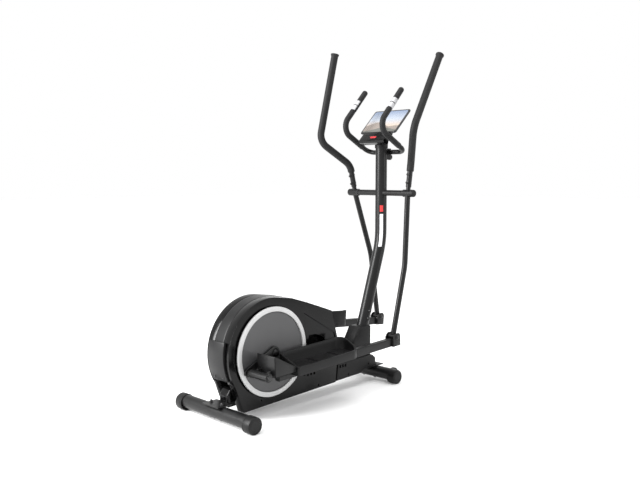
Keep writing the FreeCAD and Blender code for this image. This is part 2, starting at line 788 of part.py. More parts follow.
def loop_face(big, small, grow):
    """Outline of a belt round two pulleys, grown outwards."""
    x1, z1 = 0.0, size("axle_height")
    x2, z2 = size("fly_x"), size("fly_height")
    span = math.hypot(x2 - x1, z2 - z1)
    lean = math.atan2(z2 - z1, x2 - x1)
    wrap = math.acos((big - small) / span)
    r1, r2 = big + grow, small + grow

    def spot(x, z, r, a):
        return at(x + r * math.cos(lean + a), 0, z + r * math.sin(lean + a))
    top1, low1 = spot(x1, z1, r1, wrap), spot(x1, z1, r1, -wrap)
    top2, low2 = spot(x2, z2, r2, wrap), spot(x2, z2, r2, -wrap)
    edges = [Part.LineSegment(top1, top2).toShape(),
             Part.Arc(top2, spot(x2, z2, r2, 0), low2).toShape(),
             Part.LineSegment(low2, low1).toShape(),
             Part.Arc(low1, spot(x1, z1, r1, math.pi), top1).toShape()]
    return fixed(Part.Face(Part.Wire(edges)), "loop")


def build_drive():
    z, y = size("axle_height"), size("pulley_back")
    width = size("pulley_width")
    rim = straight_tube("pulley_radius", "pulley_radius - 10", "pulley_width", at(0, y, z))
    web = cylinder("pulley_radius - 8", 5, at(0, y + width / 2 - 2.5, z))
    hub = cylinder(24, width, at(0, y, z))
    holes = [cylinder(22, 20, at(80 * math.cos(a), y, z + 80 * math.sin(a)))
             for a in [n * math.pi / 3 for n in range(6)]]
    bore = cylinder(size("axle_radius") + size("run_gap"), 30, at(0, y - 5, z))
    node("drive_pulley", cut(fuse(rim, web, hub), bore, *holes))

    fx, fz = size("fly_x"), size("fly_height")
    wheel = cylinder("fly_radius", "fly_width", at(fx, -size("fly_width") / 2, fz))
    dish_depth = 7
    dishes = [straight_tube("fly_radius - 22", 24, dish_depth, at(fx, yy, fz))
              for yy in (-size("fly_width") / 2, size("fly_width") / 2 - dish_depth)]
    fly_bore = cylinder(size("fly_shaft") + 0.02, "fly_width + 16", at(fx, -size("fly_width") / 2 - 8, fz))
    node("flywheel", cut(wheel, fly_bore, *dishes))
    shaft = cylinder("fly_shaft", y + width + 46, at(fx, -42, fz))
    pulley = cylinder("small_radius", "pulley_width", at(fx, y, fz))
    flange = cylinder("small_radius + 4", 2, at(fx, y - 3, fz))
    node("flywheel_axle", fuse(shaft, pulley, flange))

    big, small, clear = size("pulley_radius"), size("small_radius"), size("belt_play")
    outer = extrude(loop_face(big, small, size("belt_thick") + clear), width - 2)
    inner = extrude(loop_face(big, small, clear), width - 2)
    node("drive_belt", placed(cut(outer, inner), V(0, y + 1, 0)))


def idler_place():
    """Idler pulley centre, below the belt's lower run."""
    x1, z1, x2, z2 = 0.0, size("axle_height"), size("fly_x"), size("fly_height")
    span = math.hypot(x2 - x1, z2 - z1)
    lean = math.atan2(z2 - z1, x2 - x1)
    wrap = math.acos((size("pulley_radius") - size("small_radius")) / span)
    normal = (math.cos(lean - wrap), math.sin(lean - wrap))
    share = size("idler_share")
    off = size("belt_thick") + size("idler_radius") + 3 * size("belt_play")
    reach, far = size("pulley_radius") + off, size("small_radius") + off
    return (x1 + normal[0] * reach + share * (x2 + normal[0] * far - x1 - normal[0] * reach),
            z1 + normal[1] * reach + share * (z2 + normal[1] * far - z1 - normal[1] * reach))


def build_idler():
    x, z = idler_place()
    pivot_x, pivot_z = size("idler_pivot_x"), size("idler_pivot_z")
    ends = [cylinder(12, 5, at(x, 41, z)), cylinder(12, 5, at(pivot_x, 41, pivot_z))]
    run = V(pivot_x - x, 0, pivot_z - z)
    lean = turn(Y_AXIS, -math.degrees(math.atan2(run.z, run.x)))
    bar = box(run.Length, 5, 18, at(x, 41, z) + lean.multVec(V(0, 0, -9)), lean)
    y, width = size("pulley_back"), size("pulley_width")
    pin = cylinder(4, y + width + 2 - 41, at(x, 41, z))
    hole = cylinder("stud_radius + run_gap", 20, at(pivot_x, 35, pivot_z))
    node("idler_arm", cut(fuse(*ends, bar, pin), hole))
    wheel = straight_tube("idler_radius", 4 + size("run_gap"), "pulley_width", at(x, y, z))
    node("idler_pulley", wheel)


BRACKET_ANGLES = (-52.0, 25.0)


def bracket_pivot():
    angle = math.radians(BRACKET_ANGLES[0] - 6)
    reach = size("fly_radius") + 14
    return size("fly_x") + reach * math.cos(angle), size("fly_height") + reach * math.sin(angle)


def build_brake():
    x, z = size("fly_x"), size("fly_height")
    low, high = [math.radians(a) for a in BRACKET_ANGLES]

    def spot(r, a):
        return at(x + r * math.cos(a), -17, z + r * math.sin(a))

    def sector(inner, outer):
        mid = (low + high) / 2
        edges = [Part.Arc(spot(outer, low), spot(outer, mid), spot(outer, high)).toShape(),
                 Part.LineSegment(spot(outer, high), spot(inner, high)).toShape(),
                 Part.Arc(spot(inner, high), spot(inner, mid), spot(inner, low)).toShape(),
                 Part.LineSegment(spot(inner, low), spot(outer, low)).toShape()]
        return fixed(Part.Face(Part.Wire(edges)), "arc")
    band = extrude(sector(size("fly_radius") + 8, size("fly_radius") + 12), 34)
    magnets = [extrude(sector(size("fly_radius") + 3, size("fly_radius") + 8.5), 20)]
    magnets[0].Placement.Base = V(0, 7, 0)
    px, pz = bracket_pivot()
    knuckle = cylinder(10, 34, at(px, -17, pz))
    pad = cylinder("stud_radius + run_gap", 60, at(px, -30, pz))
    node("brake_bracket", cut(fuse(band, magnets[0], knuckle), pad))
    motor_x = size("motor_x")
    motor = box(46, 34, 40, at(motor_x, -17, rail_top + 0.5))
    shaft = cylinder(7, 10, at(motor_x + 23, 0, rail_top + 40), Z_AXIS)
    node("brake_motor", fuse(motor, shaft))


# Housing -----------------------------------------------------------------------------------

def shell_face(inset, y):
    """Side outline: round at the rear, sloping roof, leaning front edge."""
    radius = size("shell_radius") - inset
    z = size("axle_height")
    front = size("shell_front") - inset
    rear_low = math.radians(size("rear_angle"))
    peak = math.radians(size("roof_angle"))

    def spot(a):
        return at(radius * math.cos(a), y, z + radius * math.sin(a))
    nose = at(front - 82, y, 413 - inset)
    waist = at(front - 30, y, 240)
    crown = (spot(peak) + nose) * 0.5 + V(0, 0, size("roof_rise"))
    toe = at(front, y, size("skirt_front") + inset)
    heel = at(-158 + inset, y, size("skirt_rear") + inset)
    edges = [Part.Arc(spot(rear_low), spot(math.radians(150)), spot(peak)).toShape(),
             Part.Arc(spot(peak), crown, nose).toShape(),
             Part.LineSegment(nose, waist).toShape(),
             Part.LineSegment(waist, at(front, y, 150)).toShape(),
             Part.LineSegment(at(front, y, 150), toe).toShape(),
             Part.LineSegment(toe, heel).toShape(),
             Part.LineSegment(heel, spot(rear_low)).toShape()]
    return fixed(Part.Face(Part.Wire(edges)), "outline")


def build_housing():
    wall, half, strip = size("shell_wall"), size("shell_half"), size("strip_half")
    for name, side in SIDES:
        start = side * (strip + 0.3)
        outer = extrude(shell_face(0, start), half - strip - 0.3, Y_AXIS * side)
        inner = extrude(shell_face(wall, start - side), half - strip - 0.3 - wall + 1, Y_AXIS * side)
        centre = at(0, side * (half - 10), size("axle_height"))
        hole = cylinder("crank_hub + 7", 30, centre, Y_AXIS * side)
        face = at(0, side * (half - 1.2), size("axle_height"))
        well = cylinder("disc_radius - 4", 2, face, Y_AXIS * side)
        node("housing_" + name, cut(outer, inner, hole, well))
    band = cut(extrude(shell_face(0, -strip), "2 * strip_half"),
               extrude(shell_face(wall, -strip), "2 * strip_half"),
               box(900, 2 * strip + 2, 182, at(-320, -strip - 1, 0)))
    node("housing_strip", band)
    z = size("axle_height")
    guard_half = size("shell_half") - 21
    ring = straight_tube("shell_radius + 8", "shell_radius + 3.5", 2 * guard_half, at(0, -guard_half, z))
    edge = -guard_half - 2
    wedge = plate([at(0, edge, z), at(-300, edge, z - 150), at(-340, edge, z + 100)], -2 * edge)
    node("rear_guard", common(ring, wedge))
    rear = size("rear_foot_x") + 37.5
    shell = box(38, 58, 60, at(rear, -29, rail_base + 0.3))
    hollow = box(32.5, 52, 57, at(rear + 3, -26, rail_base))
    tilt = plate([at(rear - 8, -35, rail_base + 61), at(rear - 8, -35, rail_base + 32),
                  at(rear + 16, -35, rail_base + 61)], 70)
    node("rear_end_cover", cut(shell, hollow, tilt))


def cover_faces(inset, y):
    """Side outlines of the front cover: the long low part, and the boot round the mast's foot."""
    front = size("shell_front") + 0.5 + inset
    skirt = size("skirt_front") + inset
    end = mast_line(size("mast_foot_z")) + size("mast_radius") + 5 - inset
    roof = 143 - inset
    low = [at(front, y, skirt), at(front, y, roof), at(end - 2, y, roof), at(end - 2, y, 92),
           at(end - 24, y, rail_base + 1), at(640, y, rail_base + 1), at(610, y, skirt + 6)]
    if inset:
        low = [at(front - 9, y, skirt - 9), at(front - 9, y, roof), at(end - 2, y, roof),
               at(end - 2, y, 60), at(front + 20, y, skirt - 9)]
    top = size("mast_foot_z") + 30 + inset
    rear = mast_line(size("mast_foot_z")) - size("mast_radius") + inset
    boot = [at(rear - 103, y, 120), at(rear - 67, y, 225), at(rear - 24, y, top),
            at(end, y, top), at(end, y, 120)]
    return low, boot


def build_front_covers():
    wall, half = size("shell_wall"), size("shell_half")
    boot_half = size("mast_radius") + size("boot_side")
    jack_x, jack_z = size("jack_x"), size("jack_z")
    slope = mast_direction()
    for name, side in SIDES:
        out = Y_AXIS * side
        start = side * 0.3
        low, boot = cover_faces(0, start)
        low_in, boot_in = cover_faces(wall, start - side)
        solid = fuse(plate(low, half - 1.5, out), plate(boot, boot_half, out))
        hollow = fuse(plate(low_in, half - 1.5 - wall + 1, out),
                      plate(boot_in, boot_half - wall + 1, out))
        mouth = cylinder("mast_radius + gap", 90, at(mast_line(250), 0, 250), slope)
        pieces = cut(solid, hollow, mouth)
        if side > 0:
            pieces = cut(pieces, cylinder(6 + size("gap") / 2, 12, at(jack_x, half - 8, jack_z)))
        node("front_cover_" + name, pieces)
    face = half - 1.1
    inlet = fuse(cylinder(6, 14, at(jack_x, face - 12, jack_z)), cylinder(9, 2, at(jack_x, face, jack_z)))
    socket = cylinder("jack_radius", "jack_depth + 1", at(jack_x, face + 2 - size("jack_depth"), jack_z))
    node("power_inlet", cut(inlet, socket))


# Handlebar and console ---------------------------------------------------------------------

def bar_points(stop=1.0):
    """Half of the fixed handlebar from the clamp to its left tip."""
    x, z = size("bar_x"), size("bar_z")
    half = size("bar_half")
    rear = at(x - size("bar_back"), half, z + size("bar_elbow_rise"))
    tip = at(x - size("bar_tip_back"), half - 2, z + size("bar_tip_rise"))
    return [at(x, 0, z), at(x, half, z), rear, rear + (tip - rear) * stop]


def mirrored(points):
    return [V(p.x, -p.y, p.z) for p in points]


def build_handlebar():
    bends = [42, 57]
    half = bar_points(0.99)
    whole = mirrored(half)[:0:-1] + [half[1]] + half[2:]
    tube = bent_tube(whole, bends[::-1] + bends, "bar_radius", "foot_wall")
    node("handlebar", tube)
    grips, sensors = [], []
    for name, side in SIDES:
        points = bar_points()
        if side < 0:
            points = mirrored(points)
        corner, tip = points[2], points[3]
        axis = (tip - corner).normalize()
        length = (tip - corner).Length
        core = cylinder("bar_radius + run_gap", length * 0.99 - 78, corner + axis * 78, axis)
        upper = cylinder("bar_grip", 78, tip - axis * 76, axis)
        grips.append(cut(upper, core))
        for start in (152, 118):
            sensors.append(straight_tube("bar_grip + 0.6", "bar_radius + run_gap", 31,
                                         tip - axis * (start - 10), axis))
        lower = [points[1] + (corner - points[1]).normalize() * 60, corner, tip - axis * 146]
        grips.append(cut(sweep(lower, [57], "bar_grip"), sweep(lower, [57], "bar_radius + run_gap")))
    node("handlebar_grips", group(*grips))
    node("pulse_sensors", group(*sensors))
    x, z = size("bar_x"), size("bar_z")
    outer = box(15, 36, 58, at(x + 0.5, -18, z - 39))
    seat = cylinder("bar_radius + gap", 60, at(x, -30, z))
    hole = cylinder(4.3, 60, at(x - 20, 0, z - 25), X_AXIS)
    node("handlebar_clamp", cut(outer, seat, hole))
    stem = cylinder(4, 24, at(x - 5, 0, z - 25), X_AXIS)
    grip = cylinder(17, 14, at(x + 16, 0, z - 25), X_AXIS)
    node("clamp_knob", fuse(stem, grip))


def screen_frame():
    """Bottom edge centre of the screen, its up-slope direction and its normal."""
    tilt = math.radians(size("tablet_tilt"))
    up = V(math.cos(tilt), 0, math.sin(tilt))
    normal = V(-math.sin(tilt), 0, math.cos(tilt))
    return at(size("tablet_x"), 0, size("tablet_z")), up, normal


def build_console():
    foot, up, normal = screen_frame()
    tilt = size("tablet_tilt")
    half, thick = size("console_half"), size("tablet_thick")
    lay = turn(Y_AXIS, -tilt)
    wide = size("tablet_width")
    slab = box("tablet_length", "tablet_width", "tablet_thick",
               foot - normal * thick + V(0, -wide / 2, 0), lay)
    node("tablet", slab)
    back = foot - normal * (thick + 0.5)
    face = back + up * 108
    deep, slim = 15.6, size("console_back_half")
    low = size("mast_top") - 14
    ahead = size("mast_x") + size("mast_radius")
    behind = size("mast_x") - size("mast_radius")
    shell_line = [back + up * 3, face, face - normal * deep, at(ahead - 10, 0, low + 40),
                  at(behind - 11, 0, low + 30)]
    outline = [p + V(0, -slim, 0) for p in shell_line]
    neck = cylinder("mast_radius + 4", 36, at(size("mast_x"), 0, low), Z_AXIS)
    core = [p + V(0, -slim + 3, 0) for p in
            [back + up * 12 - normal * 3, face - up * 4 - normal * 3,
             face - normal * (deep - 2.5) - up * 3, at(ahead - 15, 0, low + 44),
             at(behind + 4, 0, low + 37)]]
    hollow = plate(core, 2 * slim - 6)
    socket = cylinder("mast_radius + gap", 20, at(size("mast_x"), 0, low - 5), Z_AXIS)
    wire_way = cylinder("mast_radius - 6", 36, at(size("mast_x"), 0, low + 12), Z_AXIS)
    body = fuse(plate(outline, 2 * slim), neck)
    node("console_shell", cut(body, hollow, socket, wire_way))
    ledge = foot - normal * (thick + 1)
    rest_x, rest_z = size("tablet_x"), size("tablet_z")
    lip_line = [ledge - up * 0.4, ledge - up * 0.4 + normal * 14, ledge - up * 4 + normal * 14,
                at(rest_x - 50, 0, rest_z - 42), at(rest_x - 46, 0, rest_z - 53),
                at(behind - 18, 0, low + 16), back - up * 8]
    lip = plate([p + V(0, -half - 4, 0) for p in lip_line], 2 * half + 8)
    a, b = lip_line[2], lip_line[3]
    slope = (a - b).normalize()
    out = V(-slope.z, 0, slope.x)
    middle = (a + b) * 0.5
    well = cylinder("key_radius + 0.3", 12, middle - out * 8, out)
    node("console_lip", cut(lip, well))
    node("console_key", cylinder("key_radius", 6, middle - out * 4.4, out))


def build_all():
    build_frame()
    build_feet()
    build_foot_bolts()
    build_caps()
    build_mast()
    build_mast_bolts()
    build_crossbar()
    build_crank()
    build_drive()
    build_idler()
    build_brake()
    build_housing()
    build_front_covers()
    for name, side in SIDES:
        build_swing_arm(name, side)
        build_handle(name, side)
        build_pedal(name, side)
    build_handlebar()
    build_console()


def check_all():
    """Stops on a failed object, or on a piece without a sound shape."""
    failed = [o.Label for o in doc.Objects if {"Invalid", "Error"} & set(o.State)]
    bad = [n for n, o in parts.items() if o.Shape.isNull() or not o.Shape.isValid() or not o.Shape.Solids]
    if failed or bad:
        raise RuntimeError("failed objects: %s, unsound pieces: %s" % (failed, bad))


build_all()
doc.recompute()
check_all()
os.makedirs("parts", exist_ok=True)
for label, obj in parts.items():
    obj.Shape.exportStep(os.path.join("parts", label + ".step"))
whole = FreeCAD.BoundBox()
for obj in parts.values():
    whole.add(obj.Shape.BoundBox)
low_corner = [round(v, 1) for v in (whole.XMin, whole.YMin, whole.ZMin)]
high_corner = [round(v, 1) for v in (whole.XMax, whole.YMax, whole.ZMax)]
print("pieces", len(parts), "from", low_corner, "to", high_corner)
print("arm lean", [round(arm_angle(s), 3) for _, s in SIDES])
print("pedal slope", [round(pedal_angle(s), 3) for _, s in SIDES])
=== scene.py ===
import json
import math

import bmesh
import bpy
from mathutils import Matrix, Vector
from mathutils.bvhtree import BVHTree


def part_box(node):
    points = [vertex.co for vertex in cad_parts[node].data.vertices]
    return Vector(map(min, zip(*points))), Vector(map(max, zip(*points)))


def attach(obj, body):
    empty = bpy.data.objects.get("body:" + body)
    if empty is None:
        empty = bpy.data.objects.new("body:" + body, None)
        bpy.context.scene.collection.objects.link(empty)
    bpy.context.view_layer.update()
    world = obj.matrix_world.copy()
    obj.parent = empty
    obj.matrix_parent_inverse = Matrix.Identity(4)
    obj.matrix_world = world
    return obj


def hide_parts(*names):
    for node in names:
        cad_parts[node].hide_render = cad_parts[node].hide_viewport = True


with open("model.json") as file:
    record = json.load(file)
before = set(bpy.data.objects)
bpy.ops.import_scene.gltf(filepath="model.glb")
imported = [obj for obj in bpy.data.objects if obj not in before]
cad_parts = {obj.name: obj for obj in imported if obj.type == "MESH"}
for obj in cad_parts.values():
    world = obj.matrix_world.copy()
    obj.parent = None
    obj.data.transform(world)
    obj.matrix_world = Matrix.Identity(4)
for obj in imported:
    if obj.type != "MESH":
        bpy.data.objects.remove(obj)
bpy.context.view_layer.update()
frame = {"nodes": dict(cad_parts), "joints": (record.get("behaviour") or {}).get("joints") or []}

# Elliptical cross trainer, in metres. +X towards the mast, +Y to the user's left, +Z up.
# Side -1 is the user's right, side +1 the user's left.

SIDES = (("right", -1), ("left", 1))
UP = Vector((0, 0, 1))
ACROSS = Vector((0, 1, 0))
JOINT = {joint["name"]: joint for joint in frame["joints"]}


def joint_place(name):
    """Where a joint's axis passes."""
    return Vector(JOINT[name]["pos_m"])


AXLE = joint_place("crank_turn")
CROSSBAR = joint_place("right_arm_swing")


# Camera ------------------------------------------------------------------------------------

CAMERA_PLACE = (-2.5921, -2.5744, 1.0622)
CAMERA_TURN = math.radians(-45.21)
CAMERA_RISE = math.radians(4.9)
CAMERA_LENS = 42.6
CAMERA_REACH = 60


def make_camera():
    """Low view from the rear right, looking along its turn and rise."""
    data = bpy.data.cameras.new("camera")
    data.lens = CAMERA_LENS
    data.clip_end = CAMERA_REACH
    camera = bpy.data.objects.new("camera", data)
    bpy.context.scene.collection.objects.link(camera)
    level = math.cos(CAMERA_RISE)
    back = Vector((math.sin(CAMERA_TURN) * level, -math.cos(CAMERA_TURN) * level, math.sin(CAMERA_RISE)))
    camera.rotation_mode = "QUATERNION"
    camera.rotation_quaternion = (-back).to_track_quat("-Z", "Y")
    camera.location = CAMERA_PLACE
    bpy.context.scene.camera = camera


make_camera()


# Finishes ----------------------------------------------------------------------------------

class Link:
    """One output of a finish's nodes, used in sums like a number."""

    def __init__(self, finish, socket):
        self.finish = finish
        self.socket = socket

    def calc(self, operation, *terms):
        """Adds a Math node."""
        return self.finish.node("ShaderNodeMath", {"operation": operation}, dict(enumerate(terms)))

    def __add__(self, other):
        return self.calc("ADD", self, other)

    def __radd__(self, other):
        return self.calc("ADD", other, self)

    def __sub__(self, other):
        return self.calc("SUBTRACT", self, other)

    def __rsub__(self, other):
        return self.calc("SUBTRACT", other, self)

    def __mul__(self, other):
        return self.calc("MULTIPLY", self, other)

    def __rmul__(self, other):
        return self.calc("MULTIPLY", other, self)

    def __truediv__(self, other):
        return self.calc("DIVIDE", self, other)

    def __rtruediv__(self, other):
        return self.calc("DIVIDE", other, self)

    def __pow__(self, other):
        return self.calc("POWER", self, other)

    def wave(self):
        """Its sine, from -1 to 1."""
        return self.calc("SINE", self)

    def between(self, low, high):
        """0 at low and 1 at high, held outside."""
        return self.finish.node("ShaderNodeMapRange", {"interpolation_type": "SMOOTHSTEP"},
                                {"Value": self, "From Min": low, "From Max": high})


class Finish:
    """A procedural material built round one Principled shader."""

    def __init__(self, name):
        self.material = bpy.data.materials.new(name)
        self.material.use_nodes = True
        self.tree = self.material.node_tree
        self.shader = self.tree.nodes["Principled BSDF"]

    def feed(self, socket, value):
        """Links an output to a socket, or sets a constant on it."""
        if isinstance(value, Link):
            self.tree.links.new(value.socket, socket)
        else:
            socket.default_value = value

    def node(self, kind, settings=None, sockets=None, output=0):
        """Adds a node: its settings first, then its sockets. Gives one of its outputs."""
        made = self.tree.nodes.new(kind)
        for key, value in (settings or {}).items():
            if key == "stops":
                while len(made.color_ramp.elements) < len(value):
                    made.color_ramp.elements.new(0.5)
                for element, (place, colour) in zip(made.color_ramp.elements, value):
                    element.position = place
                    element.color = (*colour, 1)
            else:
                setattr(made, key, value)
        for key, value in (sockets or {}).items():
            self.feed(made.inputs[key], value)
        return Link(self, made.outputs[output])

    def place(self):
        """The machine's own coordinates."""
        return self.node("ShaderNodeTexCoord", output="Object")

    def axis(self, name):
        return self.node("ShaderNodeSeparateXYZ", None, {0: self.place()}, name)

    def moved(self, turn, stretch=(1, 1, 1)):
        """The same coordinates turned and stretched, for marks that run one way."""
        return self.node("ShaderNodeMapping", None,
                         {"Vector": self.place(), "Rotation": turn, "Scale": stretch})

    def noise(self, scale, detail=2.0, rough=0.5, where=None):
        sockets = {"Vector": where or self.place(), "Scale": scale, "Detail": detail, "Roughness": rough}
        return self.node("ShaderNodeTexNoise", None, sockets)

    def cells(self, scale, where=None):
        return self.node("ShaderNodeTexVoronoi", None, {"Vector": where or self.place(), "Scale": scale})

    def mix(self, factor, first, second):
        """Blends two colours, each a link or three numbers."""
        first, second = (value if isinstance(value, Link) else (*value, 1) for value in (first, second))
        return self.node("ShaderNodeMix", {"data_type": "RGBA"}, {0: factor, 6: first, 7: second}, 2)

    def edges(self, radius):
        """1 on edges that are sharper than the radius, 0 on flat places."""
        soft = self.node("ShaderNodeBevel", {"samples": 4}, {"Radius": radius})
        plain = self.node("ShaderNodeNewGeometry", None, None, "Normal")
        dot = self.node("ShaderNodeVectorMath", {"operation": "DOT_PRODUCT"},
                        {0: soft, 1: plain}, "Value")
        return (1 - dot).between(0.02, 0.25)

    def upward(self):
        """1 on level tops, 0 on walls and undersides."""
        normal = self.node("ShaderNodeNewGeometry", None, None, "Normal")
        return self.node("ShaderNodeSeparateXYZ", None, {0: normal}, "Z").between(0.55, 1.0)

    def bump(self, height, distance, strength=1.0):
        made = self.node("ShaderNodeBump", None,
                         {"Height": height, "Distance": distance, "Strength": strength})
        self.feed(self.shader.inputs["Normal"], made)

    def paint(self, **values):
        """Sets the shader's sockets; an underscore stands for a space."""
        for key, value in values.items():
            self.feed(self.shader.inputs[key.replace("_", " ")], value)
        return self


def colour(level, tint=(1.0, 1.0, 1.03)):
    """Grey of a given level, slightly cool."""
    return tuple(level * part for part in tint)


def powder_coat(name, level=0.0065, rough=0.33):
    """Baked black powder coat: fine orange peel, faint dust on top, rubbed edges."""
    made = Finish(name)
    cloud = made.noise(9, 3)
    grain = made.noise(520, 2)
    rub = made.edges(0.0022) * made.noise(60, 3).between(0.42, 0.62)
    base = made.mix(cloud, colour(level * 0.82), colour(level * 1.2))
    dust = made.upward() * made.noise(38, 4).between(0.35, 0.8) * 0.35
    dusty = made.mix(dust, base, colour(level * 3.2))
    made.paint(Base_Color=made.mix(rub * 0.55, dusty, colour(level * 6)),
               Roughness=rough + (made.noise(26, 3) - 0.5) * 0.18 + rub * 0.1, Specular_IOR_Level=0.24)
    made.bump(grain + made.noise(1300, 1) * 0.4, 0.00022, 0.55)
    return made.material


def polished(name, level=0.0022, rough=0.16):
    """Polished black ABS: faint swirls and smudges."""
    made = Finish(name)
    smudge = made.noise(14, 4, 0.6).between(0.45, 0.75)
    swirl = made.noise(420, 2, 0.5, made.moved((0.4, 0.9, 0.3), (0.12, 1, 1)))
    rub = made.edges(0.0018) * made.noise(80, 3).between(0.45, 0.7)
    base = made.mix(smudge, colour(level), colour(level * 1.7))
    made.paint(Base_Color=made.mix(rub * 0.4, base, colour(level * 7)),
               Roughness=rough + smudge * 0.1 + swirl.between(0.6, 0.8) * 0.05,
               Specular_IOR_Level=0.16, Coat_Weight=0.06, Coat_Roughness=0.08)
    made.bump(made.noise(30, 2) + swirl * 0.03, 0.0004, 0.12)
    return made.material


def moulded(name, level=0.018, rough=0.42, grain=900, depth=0.00012):
    """Spark-eroded plastic: even fine grain, slightly shiny edges."""
    made = Finish(name)
    pits = made.cells(grain)
    cloud = made.noise(12, 3)
    rub = made.edges(0.0016) * made.noise(70, 3).between(0.4, 0.65)
    dust = made.upward() * made.noise(30, 4).between(0.4, 0.8) * 0.3
    base = made.mix(cloud, colour(level * 0.8), colour(level * 1.25))
    made.paint(Base_Color=made.mix(dust + rub * 0.35, base, colour(level * 3.6)),
               Roughness=rough + (cloud - 0.5) * 0.14 - rub * 0.12, Specular_IOR_Level=0.2)
    made.bump(pits + made.noise(grain * 0.6, 2) * 0.5, depth, 0.5)
    return made.material


def foam(name, level=0.0075):
    """Closed-cell foam: fine pores painted darker inside as painted shade, and a soft sheen."""
    made = Finish(name)
    pores = made.cells(760)
    soft = made.noise(45, 3)
    # Painted shade: the colour is darker inside the pore dents than on the foam around them.
    base = made.mix(pores.between(0.1, 0.5), colour(level * 0.45), colour(level * 1.25))
    made.paint(Base_Color=made.mix(soft.between(0.45, 0.7) * 0.5, base, colour(level * 1.9)),
               Roughness=0.58 + (soft - 0.5) * 0.15, Sheen_Weight=0.05, Sheen_Roughness=0.4,
               Specular_IOR_Level=0.22)
    made.bump(pores * 0.7 + made.noise(240, 3) * 0.6, 0.00045, 0.6)
    return made.material


def metal(name, level, rough, stretch=(1, 1, 1), metallic=1.0, fine=420):
    """Turned, plated or painted metal with fine directional marks."""
    made = Finish(name)
    lines = made.noise(fine, 3, 0.6, made.moved((0, 0, 0), stretch))
    stain = made.noise(22, 4)
    rub = made.edges(0.0012)
    base = made.mix(stain, colour(level * 0.85, (1, 1, 1.01)), colour(level * 1.1, (1, 1, 1.01)))
    made.paint(Base_Color=made.mix(rub * 0.4, base, colour(min(1, level * 1.35), (1, 1, 1))),
               Roughness=rough + (lines - 0.5) * 0.16 + (stain - 0.5) * 0.1, Metallic=metallic)
    made.bump(lines, 0.00006, 0.35)
    return made.material


def flat_paint(name, shade, rough, metallic=0.0):
    """Sprayed or moulded-in colour with light handling marks."""
    dust, grain = 0.25, 700
    made = Finish(name)
    cloud = made.noise(10, 4)
    rub = made.edges(0.0014) * made.noise(60, 3).between(0.42, 0.66)
    dark = tuple(part * 0.86 for part in shade)
    pale = tuple(min(1, part * 1.12) for part in shade)
    worn = tuple(min(1, part * 1.6 + 0.03) for part in shade)
    base = made.mix(cloud, dark, pale)
    marks = rub * 0.5 + made.noise(34, 4).between(0.5, 0.85) * dust * 0.3
    made.paint(Base_Color=made.mix(marks, base, worn),
               Roughness=rough + (cloud - 0.5) * 0.15, Metallic=metallic)
    made.bump(made.cells(grain) + made.noise(grain * 0.5, 2), 0.0001, 0.4)
    return made.material


def brushed_face(name, level, rough):
    """Moulded disc face with fine turned rings about the crank axle."""
    made = Finish(name)
    x, z = made.axis("X") - AXLE.x, made.axis("Z") - AXLE.z
    out = (x * x + z * z) ** 0.5
    rings = (out * 3800).wave()
    cloud = made.noise(11, 4)
    rub = made.edges(0.0016) * made.noise(60, 3).between(0.42, 0.66)
    base = made.mix(cloud, colour(level * 0.85), colour(level * 1.15))
    made.paint(Base_Color=made.mix(rub * 0.4, base, colour(level * 2)),
               Roughness=rough + (cloud - 0.5) * 0.14)
    made.bump(rings * 0.4 + made.noise(600, 2), 0.00009, 0.45)
    return made.material


def screen_picture(name):
    """Lit screen: soft hills under an evening sky."""
    half_wide, foot, tall = 0.113, 1.272, 0.124
    made = Finish(name)
    across = made.axis("Y") / half_wide
    up = (made.axis("Z") - foot) / tall
    hills = (across * 2.3 + 0.6).wave() * 0.09 + (across * 5.1).wave() * 0.04 + 0.42
    near = (across * 3.1 + 2.0).wave() * 0.06 + 0.24
    stops = ((0.3, (0.42, 0.33, 0.25)), (0.65, (0.30, 0.33, 0.38)), (1.0, (0.14, 0.18, 0.26)))
    sky = made.node("ShaderNodeValToRGB", {"stops": stops}, {0: up})
    far = made.mix((hills - up).between(0.0, 0.02), sky, (0.20, 0.17, 0.15))
    full = made.mix((near - up).between(0.0, 0.02), far, (0.10, 0.10, 0.09))
    smear = made.noise(24, 4, 0.6).between(0.5, 0.8)
    made.paint(Base_Color=full, Emission_Color=full, Emission_Strength=0.12,
               Roughness=0.08 + smear * 0.15)
    made.bump(made.noise(40, 2), 0.00005, 0.1)
    return made.material


FINISH = {
    "disc": brushed_face("disc_face", 0.055, 0.42),
    "rim": flat_paint("silver_rim", (0.50, 0.50, 0.50), 0.40, metallic=0.2),
    "plate": flat_paint("sensor_plate", (0.40, 0.40, 0.41), 0.42, metallic=0.25),
    "red": flat_paint("red_plastic", (0.42, 0.015, 0.02), 0.32),
    "stripe": flat_paint("pale_stripe", (0.72, 0.73, 0.75), 0.38),
    "mark": flat_paint("red_stripe", (0.55, 0.03, 0.03), 0.38),
    "case": flat_paint("tablet_case", (0.012, 0.012, 0.013), 0.3),
    "picture": screen_picture("screen_picture"),
    "rib": moulded("tray_rib", 0.011, 0.40, 620, 0.00022),
    "coat": powder_coat("powder_coat"),
    "gloss": polished("polished_black"),
    "satin": moulded("satin_plastic", 0.0085, 0.34, 1100, 0.00008),
    "grain": moulded("grained_plastic", 0.0055, 0.42, 620, 0.00022),
    "foam": foam("grip_foam"),
    "steel": metal("turned_steel", 0.5, 0.28, stretch=(1, 0.15, 1)),
    "zinc": metal("black_zinc", 0.045, 0.34, metallic=0.85),
    "iron": metal("cast_iron", 0.16, 0.5, metallic=0.8, fine=180),
    "nylon": moulded("nylon", 0.1, 0.45, 700),
    "filled": moulded("filled_nylon", 0.045, 0.5, 500),
    "rubber": moulded("belt_rubber", 0.016, 0.62, 420, 0.0003),
}

